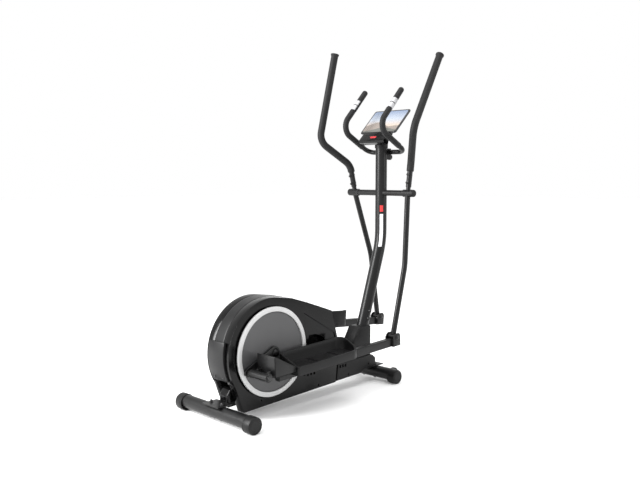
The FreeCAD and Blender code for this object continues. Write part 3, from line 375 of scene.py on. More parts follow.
SLOT_FINISH = {"frame_paint": "coat", "gloss_shell": "gloss", "satin_shell": "satin", "foam": "foam",
               "disc_grey": "disc", "silver": "rim", "steel": "steel", "zinc_black": "zinc",
               "bush": "nylon", "pulley": "filled", "belt": "rubber", "iron": "iron", "tray": "grain",
               "screen": "case", "red": "red"}


def dress_cad_nodes():
    """Every CAD piece takes the finish of its slot."""
    for node in frame["nodes"].values():
        name = node.data.materials[0].name.split(".")[0] if node.data.materials else "frame_paint"
        node.data.materials.clear()
        node.data.materials.append(FINISH[SLOT_FINISH.get(name, "coat")])


dress_cad_nodes()


# Shapes ------------------------------------------------------------------------------------

class Shape:
    """A piece in the making, in the machine's frame."""

    def __init__(self):
        self.bm = bmesh.new()

    def box(self, low, high):
        """Block between two opposite corners."""
        verts = bmesh.ops.create_cube(self.bm, size=1)["verts"]
        low, high = Vector(low), Vector(high)
        bmesh.ops.scale(self.bm, vec=high - low, verts=verts)
        bmesh.ops.translate(self.bm, vec=(low + high) / 2, verts=verts)
        return verts

    def rod(self, start, end, radius, end_radius=None, sides=40):
        """Straight round bar, which may taper."""
        start, end = Vector(start), Vector(end)
        along = end - start
        turn = along.to_track_quat("Z", "Y").to_matrix().to_4x4()
        where = Matrix.Translation((start + end) / 2) @ turn
        made = bmesh.ops.create_cone(self.bm, cap_ends=True, segments=sides, radius1=radius,
                                     radius2=radius if end_radius is None else end_radius,
                                     depth=along.length, matrix=where)
        return made["verts"]

    def lathe(self, profile, centre, axis=ACROSS, steps=56, degrees=360.0, start=None):
        """Turns a closed profile of (distance out, distance along) pairs about the axis."""
        centre, axis = Vector(centre), Vector(axis).normalized()
        out = Vector(start) if start else axis.orthogonal().normalized()
        verts = [self.bm.verts.new(centre + out * r + axis * h) for r, h in profile]
        edges = [self.bm.edges.new(pair) for pair in zip(verts, verts[1:] + verts[:1])]
        full = degrees >= 360
        geom = verts + edges
        if not full:
            geom = geom + bmesh.ops.contextual_create(self.bm, geom=edges)["faces"]
        bmesh.ops.spin(self.bm, geom=geom, cent=centre, axis=axis, angle=math.radians(degrees),
                       steps=steps, use_merge=full)
        bmesh.ops.remove_doubles(self.bm, verts=self.bm.verts[:], dist=1e-6)

    def loop(self, points):
        """Flat face from its corners."""
        verts = [self.bm.verts.new(p) for p in points]
        edges = [self.bm.edges.new(pair) for pair in zip(verts, verts[1:] + verts[:1])]
        return bmesh.ops.contextual_create(self.bm, geom=edges)["faces"][0]

    def thicken(self, face, along):
        """Pushes a face out into a solid."""
        grown = bmesh.ops.extrude_face_region(self.bm, geom=[face], use_keep_orig=True)["geom"]
        moved = [g for g in grown if isinstance(g, bmesh.types.BMVert)]
        bmesh.ops.translate(self.bm, vec=along, verts=moved)

    def slab(self, points, along):
        """Flat outline pushed out into a solid."""
        self.thicken(self.loop(points), Vector(along))

    def pull(self, edges):
        """Grows a band of faces from a run of edges; gives its new corners and edges."""
        made = bmesh.ops.extrude_edge_only(self.bm, edges=edges)["geom"]
        verts = [g for g in made if isinstance(g, bmesh.types.BMVert)]
        found = [g for g in made if isinstance(g, bmesh.types.BMEdge) and all(v in verts for v in g.verts)]
        return verts, found

    def wall(self, thickness, outside):
        """Thickens an open skin; outside tells how far a face looks to the outer side."""
        bmesh.ops.recalc_face_normals(self.bm, faces=self.bm.faces[:])
        self.bm.normal_update()
        facing = sum(outside(face) for face in self.bm.faces)
        bmesh.ops.solidify(self.bm, geom=self.bm.faces[:], thickness=math.copysign(thickness, facing))

    def tidy(self):
        """Joins corners that meet within one closed skin and turns all faces outward."""
        left = dict.fromkeys(self.bm.verts)
        while left:
            skin = [left.popitem()[0]]
            for vert in skin:
                for edge in vert.link_edges:
                    other = edge.other_vert(vert)
                    if other in left:
                        del left[other]
                        skin.append(other)
            bmesh.ops.remove_doubles(self.bm, verts=skin, dist=1e-6)
        bare = [edge for edge in self.bm.edges if not edge.link_faces]
        bmesh.ops.delete(self.bm, geom=bare, context="EDGES")
        bmesh.ops.recalc_face_normals(self.bm, faces=self.bm.faces[:])
        self.bm.normal_update()
        return self

    def corners(self, least, keep=None):
        """Edges that turn by more than an angle."""
        limit = math.radians(least)
        found = [e for e in self.bm.edges if len(e.link_faces) == 2 and e.calc_face_angle() > limit]
        return [e for e in found if keep is None or keep((e.verts[0].co + e.verts[1].co) / 2)]

    def ease(self, width, segments, least, keep=None, clamp=True):
        """Rounds the edges that turn by more than an angle, where keep says so."""
        self.tidy()
        bmesh.ops.bevel(self.bm, geom=self.corners(least, keep), offset=width, segments=segments,
                        profile=0.5, affect="EDGES", material=-1, clamp_overlap=clamp)
        return self.tidy()

    def face_towards(self, point, direction):
        """The face first met from far off, looking through a point."""
        self.bm.faces.ensure_lookup_table()
        tree = BVHTree.FromBMesh(self.bm)
        direction = Vector(direction).normalized()
        hit = tree.ray_cast(Vector(point) - direction * 2, direction)
        return self.bm.faces[hit[2]]

    def patch(self, corners, direction, width, depth):
        """Sinks (depth below 0) or raises a convex patch, seen along a direction."""
        direction = Vector(direction).normalized()
        corners = [Vector(c) for c in corners]
        middle = sum(corners, Vector()) / len(corners)
        for first, second in zip(corners, corners[1:] + corners[:1]):
            face = self.face_towards(middle, direction)
            bmesh.ops.bisect_plane(self.bm, geom=[face] + face.edges[:] + face.verts[:], dist=1e-6,
                                   plane_co=first, plane_no=(second - first).cross(direction))
        face = self.face_towards(middle, direction)
        bmesh.ops.inset_individual(self.bm, faces=[face], thickness=width, depth=depth)
        self.bm.normal_update()

    def sweep(self, stations, sides=32):
        """Round bar through (place, direction, radius) stations, closed at both ends."""
        axis = stations[0][1]
        out = axis.orthogonal().normalized()
        before = None
        for place, ahead, radius in stations:
            out = axis.rotation_difference(ahead) @ out
            axis = ahead
            frame_rows = Matrix((out, ahead.cross(out), ahead)).transposed().to_4x4()
            ring = bmesh.ops.create_circle(self.bm, segments=sides, radius=radius,
                                           matrix=Matrix.Translation(place) @ frame_rows)["verts"]
            edges = list(dict.fromkeys(e for v in ring for e in v.link_edges))
            if before:
                bmesh.ops.bridge_loops(self.bm, edges=before + edges)
            else:
                bmesh.ops.contextual_create(self.bm, geom=edges)
            before = edges
        bmesh.ops.contextual_create(self.bm, geom=before)
        return self

    def turned(self, matrix):
        """Moves the whole piece."""
        bmesh.ops.transform(self.bm, matrix=matrix, verts=self.bm.verts[:])
        return self

    def piece(self, name, body, nodes, slot, finish, smooth=34.0):
        """Makes the finished object, riding on its body."""
        self.tidy()
        mesh = bpy.data.meshes.new(name)
        self.bm.to_mesh(mesh)
        self.bm.free()
        mesh.shade_smooth()
        mesh.set_sharp_from_angle(angle=math.radians(smooth))
        mesh.materials.append(FINISH[finish])
        made = bpy.data.objects.new(name, mesh)
        bpy.context.scene.collection.objects.link(made)
        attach(made, body)
        if nodes:
            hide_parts(*nodes)
        return made


def bent_path(corners, bends, start_radius, arc_steps=9):
    """Stations along straight runs joined by arcs."""
    corners = [Vector(c) for c in corners]
    found = [(corners[0], (corners[1] - corners[0]).normalized(), start_radius)]
    for before, corner, after, bend in zip(corners, corners[1:], corners[2:], bends):
        back, ahead = (before - corner).normalized(), (after - corner).normalized()
        half = back.angle(ahead) / 2
        centre = corner + (back + ahead).normalized() * (bend / math.sin(half))
        first = corner + back * (bend / math.tan(half)) - centre
        axis = first.cross(corner + ahead * (bend / math.tan(half)) - centre).normalized()
        for step in range(arc_steps + 1):
            arm = Matrix.Rotation((math.pi - 2 * half) * step / arc_steps, 3, axis) @ first
            found.append((centre + arm, axis.cross(arm).normalized(), start_radius))
    last = (corners[-1] - corners[-2]).normalized()
    found.append((corners[-1], last, start_radius))
    return found


def rounded_ends(stations, ends, first=True, last=True):
    """Replaces the end stations by a run of (distance inwards, radius) pairs."""
    middle = stations[1:-1]
    place, ahead, _ = stations[0]
    front = [(place + ahead * d, ahead, r) for d, r in ends] if first else [stations[0]]
    place, ahead, _ = stations[-1]
    rear = [(place - ahead * d, ahead, r) for d, r in reversed(ends)] if last else [stations[-1]]
    return front + middle + rear


# Housing -----------------------------------------------------------------------------------

SHELL_RADIUS = 0.241
SHELL_HALF = 0.075
STRIP_HALF = 0.030
SEAM = 0.0006
NEAR = 1e-4
ARC_TOP, ARC_SKIRT, ARC_STRIP = 79.0, 213.0, 203.6
ROOF_LINE = ((0.130, 0.5025), (0.218, 0.4745), (0.305, 0.4440), (0.390, 0.413), (0.442, 0.240))
SKIRT_LINE = ((0.471, 0.152), (0.471, 0.1475), (0.427, 0.1475), (0.418, 0.0555), (-0.158, 0.032))
STRIP_FOOT = ((0.4605, 0.184),)
SIDE_PANEL = ((0.204, 0.426), (0.408, 0.306), (0.424, 0.258), (0.232, 0.258), (0.214, 0.330))
SIDE_SCOOP = ((0.2345, 0.262), (0.2375, 0.315), (0.285, 0.3135), (0.320, 0.300), (0.345, 0.281),
              (0.356, 0.262))


def spot(x, y, z):
    """Point given from the crank axle's line, like the CAD sizes."""
    return Vector((AXLE.x + x, y, z))


def shell_outline(shape, y, whole=True):
    """Rear arc, sloping roof and leaning front edge; whole adds the skirt. Returns the edges."""
    bm = shape.bm
    low = math.radians(ARC_SKIRT if whole else ARC_STRIP)
    first = bm.verts.new(spot(SHELL_RADIUS * math.cos(low), y, AXLE.z + SHELL_RADIUS * math.sin(low)))
    bmesh.ops.spin(bm, geom=[first], cent=(AXLE.x, y, AXLE.z), axis=ACROSS,
                   angle=low - math.radians(ARC_TOP), steps=44)
    bm.verts.ensure_lookup_table()
    last = bm.verts[-1]
    for x, z in ROOF_LINE + (SKIRT_LINE if whole else STRIP_FOOT):
        made = bm.verts.new(spot(x, y, z))
        bm.edges.new((last, made))
        last = made
    if whole:
        bm.edges.new((last, first))
    return bm.edges[:]


def ring_points(x, z, radius, count):
    """Corners of a circle in the machine's side view."""
    angles = [2 * math.pi * n / count for n in range(count)]
    return [(x + radius * math.cos(angle), z + radius * math.sin(angle)) for angle in angles]


def side_patch(shape, side, corners, width, depth):
    """Sinks a patch of a cover's outer face, given by its corners in side view."""
    shape.patch([spot(x, side * 0.2, z) for x, z in corners], (0, -side, 0), width, depth)


def vent(shape, side, x, low, high):
    """One upright cooling slot."""
    wide = 0.0115
    side_patch(shape, side, ((x, low), (x, high), (x + wide, high), (x + wide, low)), 0.0008, -0.007)


def screw_well(shape, side, x, z):
    """Round hole that a cover's screw sits in."""
    side_patch(shape, side, ring_points(x, z, 0.0062, 16), 0.0006, -0.004)


def make_shell(name, side):
    """One half of the housing, with its disc recess, side panel, scoop, slots and screw wells."""
    inner, outer = side * (STRIP_HALF + SEAM), side * SHELL_HALF
    shell = Shape()
    face = bmesh.ops.contextual_create(shell.bm, geom=shell_outline(shell, inner))["faces"][0]
    shell.thicken(face, ACROSS * (outer - inner))
    shell.ease(0.0016, 2, 40, lambda p: abs(p.y - inner) < NEAR)
    shell.ease(0.020, 7, 12, lambda p: abs(p.y - outer) < NEAR and p.z > 0.16)
    shell.ease(0.0022, 3, 60, lambda p: abs(p.y - outer) < NEAR and p.z < 0.15)
    side_patch(shell, side, ring_points(0, AXLE.z, 0.2075, 72), 0.0012, -0.0022)
    side_patch(shell, side, SIDE_PANEL, 0.005, -0.0035)
    side_patch(shell, side, SIDE_SCOOP, 0.0022, -0.028)
    for x in (0.203, 0.224, 0.245, 0.266):
        vent(shell, side, x, 0.122, 0.141)
    for x in (-0.06, 0.30):
        screw_well(shell, side, x, 0.064)
    shell.piece("housing_shell_" + name, "frame", ["housing_" + name], "gloss_shell", "gloss", 24)


def make_band():
    """Satin strip that closes the housing between its two halves."""
    steps = 8
    strip = Shape()
    edges = shell_outline(strip, -STRIP_HALF, False)
    for _ in range(steps):
        verts, edges = strip.pull(edges)
        bmesh.ops.translate(strip.bm, vec=(0, 2 * STRIP_HALF / steps, 0), verts=verts)
    strip.wall(0.003, lambda f: f.normal.dot(f.calc_center_median() - AXLE))
    strip.ease(0.0011, 2, 60)
    strip.piece("housing_band", "frame", ["housing_strip"], "satin_shell", "satin", 30)


def make_rear_guard():
    """Curved guard with folded edges round the housing's rear, and its two screws."""
    inner, outer, half, fold, wall = 0.2445, 0.2485, 0.052, 0.013, 0.0035
    profile = [(outer, -half), (outer, half), (outer - fold, half), (outer - fold, half - wall),
               (inner, half - wall), (inner, -half + wall), (outer - fold, -half + wall),
               (outer - fold, -half)]
    foot_angle, screw_angle = math.radians(205), math.radians(201)
    start = Vector((math.cos(foot_angle), 0, math.sin(foot_angle)))
    guard = Shape()
    guard.lathe(profile, AXLE, ACROSS, 26, 42, start)
    guard.ease(0.0022, 3, 40)
    heel = Matrix.Translation(AXLE + start * outer)
    guard.turned(heel @ Matrix.Rotation(math.radians(-2.2), 4, "Y") @ heel.inverted())
    guard.piece("rear_guard_band", "frame", ["rear_guard"], "satin_shell", "satin")
    out = Vector((math.cos(screw_angle), 0, math.sin(screw_angle)))
    screws = Shape()
    for y in (-0.030, 0.030):
        screws.lathe([(0, 0.0045), (0.003, 0.0043), (0.0055, 0.0026), (0.0062, 0.0005),
                      (0.0085, 0.0004), (0.009, -0.0012), (0, -0.0012)],
                     AXLE + out * outer + ACROSS * y, out, 20)
    screws.piece("rear_guard_screws", "frame", ["rear_guard"], "zinc_black", "zinc")


def make_rear_end():
    """Small rounded block below the guard, with a sunk square on its rear face."""
    low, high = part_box("rear_end_cover")
    half = (high.y - low.y) / 2
    points = [(low.x, low.z), (low.x, high.z - 0.030), (low.x + 0.018, high.z - 0.004),
              (low.x + 0.030, high.z), (high.x, high.z), (high.x, low.z)]
    cover = Shape()
    cover.slab([(x, -half, z) for x, z in points], (0, 2 * half, 0))
    cover.ease(0.007, 4, 15, lambda p: p.x < high.x - 0.002 and p.z > low.z + 0.002)
    square = [(-0.016, 0.006), (0.016, 0.006), (0.016, 0.032), (-0.016, 0.032)]
    cover.patch([(low.x, y, low.z + up) for y, up in square], (1, 0, 0), 0.0012, -0.0012)
    cover.piece("rear_end_block", "frame", ["rear_end_cover"], "gloss_shell", "gloss", 24)


COVER_LINE = ((0.4295, 0.0565), (0.4385, 0.1430), (0.700, 0.1430), (0.7205, 0.126), (0.7205, 0.092),
              (0.700, 0.0785), (0.640, 0.0785), (0.610, 0.0635))
BOOT_LINE = ((0.5565, 0.120), (0.592, 0.225), (0.628, 0.284), (0.638, 0.2915), (0.716, 0.2915),
             (0.7235, 0.284), (0.7235, 0.120))


def make_front_cover(name, side):
    """Low cover over the main rail, with the boot round the mast's foot."""
    start, out, boot_out = side * 0.0004, side * 0.0731, side * 0.0372
    rear_edge, front_part = AXLE.x + 0.44, AXLE.x + 0.45
    cover = Shape()
    cover.slab([spot(x, start, z) for x, z in COVER_LINE], (0, out, 0))
    cover.ease(0.007, 4, 25, lambda p: abs(p.y - start - out) < NEAR and p.x > front_part)
    cover.ease(0.002, 3, 50, lambda p: abs(p.y - start - out) < NEAR and p.x < rear_edge)
    for x in (0.447, 0.466, 0.485):
        vent(cover, side, x, 0.118, 0.1335)
    for x, z in ((0.512, 0.077), (0.660, 0.104)):
        screw_well(cover, side, x, z)
    cover.slab([spot(x, start, z) for x, z in BOOT_LINE], (0, boot_out, 0))
    cover.ease(0.008, 4, 12, lambda p: abs(p.y - start - boot_out) < NEAR and p.z > 0.144)
    cover.piece("front_shell_" + name, "frame", ["front_cover_" + name], "gloss_shell", "grain", 24)


def make_housing():
    for name, side in SIDES:
        make_shell(name, side)
    make_band()
    make_rear_guard()
    make_rear_end()
    for name, side in SIDES:
        make_front_cover(name, side)


# Cranks and discs --------------------------------------------------------------------------

EYE_RADIUS = 0.020
HUB_RADIUS = 0.027
AXLE_NUT = ((0, 0.0040), (0.009, 0.0036), (0.0125, 0.0020), (0.0135, 0.0), (0.0175, 0.0),
            (0.0178, -0.003), (0, -0.003))
DISC_PROFILE = ((0.012, 0.0815), (0.012, 0.0868), (0.028, 0.0886), (0.090, 0.0892), (0.150, 0.0888),
                (0.1765, 0.0872), (0.1782, 0.0860), (0.1800, 0.0858), (0.1800, 0.0815))
RIM_PROFILE = ((0.1802, 0.0830), (0.1802, 0.0902), (0.1812, 0.0916), (0.1835, 0.0920),
               (0.1985, 0.0920), (0.2008, 0.0914), (0.2020, 0.0898), (0.2020, 0.0835),
               (0.2012, 0.0825))


def crank_eye(name, side):
    """Middle of the eye that holds the crank pin, in the machine's middle plane."""
    low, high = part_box("crank_" + name)
    if side < 0:
        return Vector((low.x + EYE_RADIUS, 0, low.z + EYE_RADIUS))
    return Vector((high.x - EYE_RADIUS, 0, high.z - EYE_RADIUS))


def make_crank(name, side):
    """Flat crank arm with rounded ends, and the nut on the axle."""
    inner, outer = side * 0.0925, side * 0.1035
    arm = Shape()
    for y in (inner, outer):
        for centre, radius in ((AXLE, HUB_RADIUS), (crank_eye(name, side), EYE_RADIUS)):
            where = Matrix.Translation((centre.x, y, centre.z)) @ Matrix.Rotation(math.pi / 2, 4, "X")
            bmesh.ops.create_circle(arm.bm, segments=48, radius=radius, matrix=where)
    made = bmesh.ops.convex_hull(arm.bm, input=arm.bm.verts[:])
    spare = [g for g in made["geom_interior"] if isinstance(g, bmesh.types.BMVert)]
    bmesh.ops.delete(arm.bm, geom=spare, context="VERTS")
    bmesh.ops.dissolve_limit(arm.bm, angle_limit=0.02, verts=arm.bm.verts[:], edges=arm.bm.edges[:])
    arm.ease(0.002, 3, 50)
    arm.lathe(AXLE_NUT, (AXLE.x, outer, AXLE.z), ACROSS * side, 40)
    arm.piece("crank_arm_" + name, "crank", ["crank_" + name], "frame_paint", "coat")


def make_disc(name, side):
    """Grey turning disc and the silver rim round it."""
    for part, profile, steps, slot, finish in (("disc_face_", DISC_PROFILE, 128, "disc_grey", "disc"),
                                               ("disc_rim_", RIM_PROFILE, 144, "silver", "rim")):
        shape = Shape()
        shape.lathe(profile, (AXLE.x, 0, AXLE.z), ACROSS * side, steps)
        shape.piece(part + name, "crank", ["disc_" + name], slot, finish, 28)


def make_cranks():
    for name, side in SIDES:
        make_crank(name, side)
        make_disc(name, side)


# Pedal arms --------------------------------------------------------------------------------
# Each is shaped level, with the crank pin along Y through the origin, and then put in place.

ARM_Y = 0.180
REACH = 0.8805
SHEET = 0.004
TUBE_HALF = 0.015
TUBE_TOP, TUBE_LOW = -0.005, -0.045
SLEEVE_START, SLEEVE_END = 0.1215, 0.2345
FORK_HALF = 0.027
SLEEVE = ((0.0086, 0.1215), (0.0165, 0.1215), (0.0195, 0.1230), (0.0195, 0.1275), (0.0180, 0.1290),
          (0.0180, 0.2270), (0.0195, 0.2285), (0.0195, 0.2330), (0.0170, 0.2345), (0.0086, 0.2345))
PIN_NUT = ((0, 0.0082), (0.004, 0.0078), (0.0078, 0.0055), (0.0092, 0.0030), (0.0094, 0.0010),
           (0.0122, 0.0008), (0.0126, -0.0012), (0, -0.0012))
PIN_SPACER = ((0.0081, 0.1045), (0.0135, 0.1045), (0.0140, 0.1055), (0.0140, 0.1185),
              (0.0135, 0.1190), (0.0081, 0.1190))
CHEEK = ((0.034, -0.009), (0.160, -0.009), (0.160, 0.010), (0.150, 0.018), (0.042, 0.081),
         (0.034, 0.083))
FORK_EAR = ((-0.030, -0.045), (0.026, -0.045), (0.026, 0.006), (0.020, 0.016), (0.010, 0.020),
            (-0.010, 0.020), (-0.020, 0.014), (-0.030, 0.0))


def pedal_pivot(name):
    """Joint between a pedal arm and its swing arm."""
    return joint_place(name + "_pedal_pivot")


def pedal_place(name, side):
    """Turns the pedal arm's own frame into the machine's."""
    pin, pivot = crank_eye(name, side), pedal_pivot(name)
    slope = math.atan2(pivot.z - pin.z, pivot.x - pin.x)
    return Matrix.Translation(pin) @ Matrix.Rotation(-slope, 4, "Y")


def make_bracket(side):
    """Folded sheet that carries the tray's rear end on the sleeve."""
    low, high = sorted((side * SLEEVE_START, side * SLEEVE_END))
    y = side * ARM_Y
    bracket = Shape()
    bracket.box((0.034, low, -0.009), (0.038, high, 0.083))
    bracket.box((0.034, low, -0.009), (0.160, high, TUBE_TOP))
    for edge in (low, high - SHEET):
        bracket.slab([(x, edge, z) for x, z in CHEEK], (0, SHEET, 0))
    for off in (-0.035, 0.029):
        bracket.box((0.010, y + off, -0.009), (0.036, y + off + 0.006, 0.021))
    bracket.box((0.094, y - TUBE_HALF, -0.011), (0.160, y + TUBE_HALF, TUBE_TOP))
    return bracket.ease(0.0011, 2, 40, clamp=False)


def make_fork(side):
    """Open fork at the front, which the swing arm's foot turns in."""
    y = side * ARM_Y
    rear, front = REACH - 0.030, REACH + 0.026
    fork = Shape()
    fork.box((rear, y - FORK_HALF, TUBE_LOW), (rear + SHEET, y + FORK_HALF, TUBE_TOP))
    fork.box((rear, y - FORK_HALF, TUBE_LOW), (front, y + FORK_HALF, TUBE_LOW + SHEET))
    for edge in (y - FORK_HALF, y + FORK_HALF - SHEET):
        fork.slab([(REACH + x, edge, z) for x, z in FORK_EAR], (0, SHEET, 0))
    return fork.ease(0.0012, 2, 30, clamp=False)


def make_pins(side):
    """Crank pin and front pivot with their domed nuts."""
    y, out = side * ARM_Y, ACROSS * side
    pins = Shape()
    pins.lathe(PIN_NUT, (0, side * 0.2359, 0), out, 32)
    pins.lathe(PIN_SPACER, (0, 0, 0), out, 40)
    pins.rod((0, side * 0.1045, 0), (0, side * 0.236, 0), 0.008)
    for sign in (-1, 1):
        pins.lathe(PIN_NUT, (REACH, y + sign * (FORK_HALF + 0.0012), 0), ACROSS * sign, 32)
    pins.rod((REACH, y - FORK_HALF - 0.001, 0), (REACH, y + FORK_HALF + 0.001, 0), 0.006)
    return pins


def make_pedals():
    for name, side in SIDES:
        place, body = pedal_place(name, side), name + "_pedal"
        y = side * ARM_Y
        sleeve = Shape()
        sleeve.lathe(SLEEVE, (0, 0, 0), ACROSS * side, 48)
        tube = Shape()
        tube.box((0.094, y - TUBE_HALF, TUBE_LOW), (REACH - 0.028, y + TUBE_HALF, TUBE_TOP))
        tube.ease(0.004, 4, 40, lambda p: 0.1 < p.x < REACH - 0.04)
        for part, shape in (("pedal_sleeve_", sleeve), ("pedal_bracket_", make_bracket(side)),
                            ("pedal_tube_", tube), ("pedal_fork_", make_fork(side))):
            shape.turned(place).piece(part + name, body, ["pedal_arm_" + name], "frame_paint", "coat")
        pins = make_pins(side).turned(place)
        pins.piece("pedal_nuts_" + name, body, ["pedal_bolts_" + name], "zinc_black", "zinc")
        make_tray(name, side, place, body)


TRAY_INNER, TRAY_OUTER = 0.112, 0.246
TRAY_REAR, TRAY_FRONT = 0.1605, 0.5645
TRAY_FLOOR = -0.0048
TRAY_CORNERS = ((TRAY_REAR, TRAY_INNER, 0.042, 180), (TRAY_FRONT, TRAY_INNER, 0.056, 270),
                (TRAY_FRONT, TRAY_OUTER, 0.072, 0), (TRAY_REAR, TRAY_OUTER, 0.022, 90))
RIB_RUNS = ((TRAY_REAR + 0.022, TRAY_REAR + 0.150), (TRAY_REAR + 0.158, TRAY_REAR + 0.286),
            (TRAY_REAR + 0.294, TRAY_FRONT - 0.030))


def rim_height(share):
    """Height of the tray's rim, from the tall inner side (0) to the low outer side (1)."""
    ease = min(1.0, max(0.0, (share - 0.12) / 0.80))
    return 0.050 - 0.041 * ease * ease * (3 - 2 * ease)


def tray_floor_line(side, inset):
    """Plan of the tray's floor, with big front corners and small rear ones."""
    points = []
    for edge_x, edge_y, radius, first in TRAY_CORNERS:
        x = edge_x + radius if edge_x == TRAY_REAR else edge_x - radius
        y = edge_y + radius if edge_y == TRAY_INNER else edge_y - radius
        for step in range(7):
            angle = math.radians(first + 15 * step)
            points.append((x + (radius - inset) * math.cos(angle),
                           side * (y + (radius - inset) * math.sin(angle)), TRAY_FLOOR))
    return points


def make_tray(name, side, place, body):
    """Foot tray: a floor with a rising wall, a rolled rim and an apron, and ribs to stand on."""
    tray = Shape()
    floor = tray.loop(tray_floor_line(side, 0.0155))
    edges = floor.edges[:]
    middle = Vector(((TRAY_REAR + TRAY_FRONT) / 2, side * (TRAY_INNER + TRAY_OUTER) / 2, 0))
    for grow, share in ((0.0040, 0.0), (0.0040, 0.35), (0.0022, 0.35), (0.0013, 0.3), (0.0040, None)):
        verts, edges = tray.pull(edges)
        for vert in verts:
            away = vert.co - middle
            vert.co.x += math.copysign(grow, away.x)
            vert.co.y += math.copysign(grow, away.y)
            rim = rim_height((abs(vert.co.y) - TRAY_INNER) / (TRAY_OUTER - TRAY_INNER))
            if share is not None:
                vert.co.z += (rim - TRAY_FLOOR) * share if share else 0.0022
    for vert in tray.pull(edges)[0]:
        vert.co.z = TRAY_FLOOR - 0.022
    tray.wall(0.0020, lambda f: -f.normal.z if f == floor else 0)
    tray.ease(0.0008, 2, 55)
    tray.turned(place).piece("foot_tray_" + name, body, ["tray_" + name], "tray", "grain", 40)
    ribs = Shape()
    half, low, high = 0.0028, TRAY_FLOOR + 0.0030, TRAY_FLOOR + 0.0050
    for row in range(9):
        y = side * (TRAY_INNER + 0.021 + row * 0.0115)
        shift = 0.006 if row % 2 else 0.0
        for first, last in RIB_RUNS:
            ribs.box((first + shift, y - half, low), (last + shift - 0.006, y + half, high))
    ribs.ease(0.0009, 2, 40, lambda p: p.z > TRAY_FLOOR + 0.004)
    ribs.turned(place).piece("tray_ribs_" + name, body, ["tray_" + name], "tray", "rib")


# Swing arms --------------------------------------------------------------------------------
# Each is shaped upright, with the crossbar along Y through the origin, and then put in place.

GRIP_RADIUS = 0.0185
GRIP_END = ((0.0, 0.0150), (0.0006, 0.0172), (0.0022, 0.0184), (0.0050, 0.0187), (0.0075, GRIP_RADIUS))
GRIP_KNOB = ((-0.0130, 0.0186), (-0.0100, 0.0192), (-0.0075, 0.0208), (-0.0050, 0.0219),
             (-0.0010, 0.0221), (0.0008, 0.0212), (0.0017, 0.0190), (0.0020, 0.0150))
HANDLE_NUT = ((0, 0.0100), (0.0025, 0.0096), (0.0050, 0.0078), (0.0062, 0.0050), (0.0064, 0.0010),
              (0.0078, 0.0008), (0.0080, -0.0006), (0, -0.0006))
HANDLE_HEAD = ((0, 0.0040), (0.0035, 0.0036), (0.0060, 0.0018), (0.0066, 0.0), (0, 0.0))
CROSSBAR_CAP = ((0.0102, 0.2075), (0.0172, 0.2075), (0.0182, 0.2087), (0.0182, 0.2180),
                (0.0168, 0.2205), (0.0130, 0.2222), (0.0070, 0.2230), (0, 0.2230), (0, 0.2120),
                (0.0102, 0.2120))


def arm_place(name):
    """Turns the swing arm's own frame into the machine's."""
    pivot = pedal_pivot(name)
    lean = math.atan2(CROSSBAR.x - pivot.x, CROSSBAR.z - pivot.z)
    return Matrix.Translation(CROSSBAR) @ Matrix.Rotation(lean, 4, "Y")


def foam_piece(shape, name, body, node):
    """Finishes a foam grip, in place of its CAD node."""
    made = shape.piece(name, body, [node], "foam", "foam", 50)


def make_grip(name, side, place):
    """Foam sleeve along the bent handle, with a flared knob at the top."""
    y = side * ARM_Y
    corners = [(0, y, 0.112), (0, y, 0.150), (-0.112, y + side * 0.082, 0.310),
               (0.086, y + side * 0.047, 0.728)]
    path = rounded_ends(bent_path(corners, (0.090, 0.078), GRIP_RADIUS, 12), GRIP_END, True, False)
    top, ahead, _ = path.pop()
    path += [(top + ahead * d, ahead, r) for d, r in GRIP_KNOB]
    foam_piece(Shape().sweep(path, 36).turned(place), "foam_grip_" + name, name + "_arm", "grip_" + name)


def make_handle_nuts(name, side, place):
    """Two bolts through the joint of the handle and the arm's sleeve."""
    y = side * ARM_Y
    bolts = Shape()
    for z in (0.052, 0.094):
        bolts.lathe(HANDLE_NUT, (-0.0148, y, z), (-1, 0, 0), 24)
        bolts.lathe(HANDLE_HEAD, (0.0142, y, z), (1, 0, 0), 24)
        bolts.rod((-0.0150, y, z), (0.0145, y, z), 0.003, sides=16)
    bolts.turned(place)
    bolts.piece("handle_nuts_" + name, name + "_arm", ["handle_bolts_" + name], "zinc_black", "zinc")


def make_arms():
    for name, side in SIDES:
        place = arm_place(name)
        make_grip(name, side, place)
        make_handle_nuts(name, side, place)
    ends = Shape()
    for _, side in SIDES:
        ends.lathe(CROSSBAR_CAP, (CROSSBAR.x, 0, CROSSBAR.z), ACROSS * side, 40)
    ends.piece("crossbar_end_caps", "frame", ["crossbar_caps"], "satin_shell", "grain")


# Handlebar ---------------------------------------------------------------------------------

BAR_RADIUS = 0.015
BAR_TIP = ((-0.002, 0.004), (-0.0014, 0.008), (0.0005, 0.0115), (0.0035, 0.0137), (0.0070, 0.0148),
           (0.0100, BAR_RADIUS), (0.0740, BAR_RADIUS), (0.0755, 0.0146), (0.0762, 0.0135))
BAR_END = ((0.0, 0.0135), (0.0007, 0.0146), (0.0022, BAR_RADIUS))
SENSORS = ((0.0775, 0.1075), (0.1115, 0.1415))
SENSOR_RING = ((0.0126, 0.0), (0.0154, 0.0), (0.0154, 0.0036), (0.0126, 0.0036))


def sensor_profile(span):
    """Section of a pulse sensor half that is span long."""
    return ((0.0126, 0.0), (0.0150, 0.0), (0.0155, 0.0012), (0.0156, 0.0040), (0.0156, span - 0.0040),
            (0.0155, span - 0.0012), (0.0150, span), (0.0126, span))


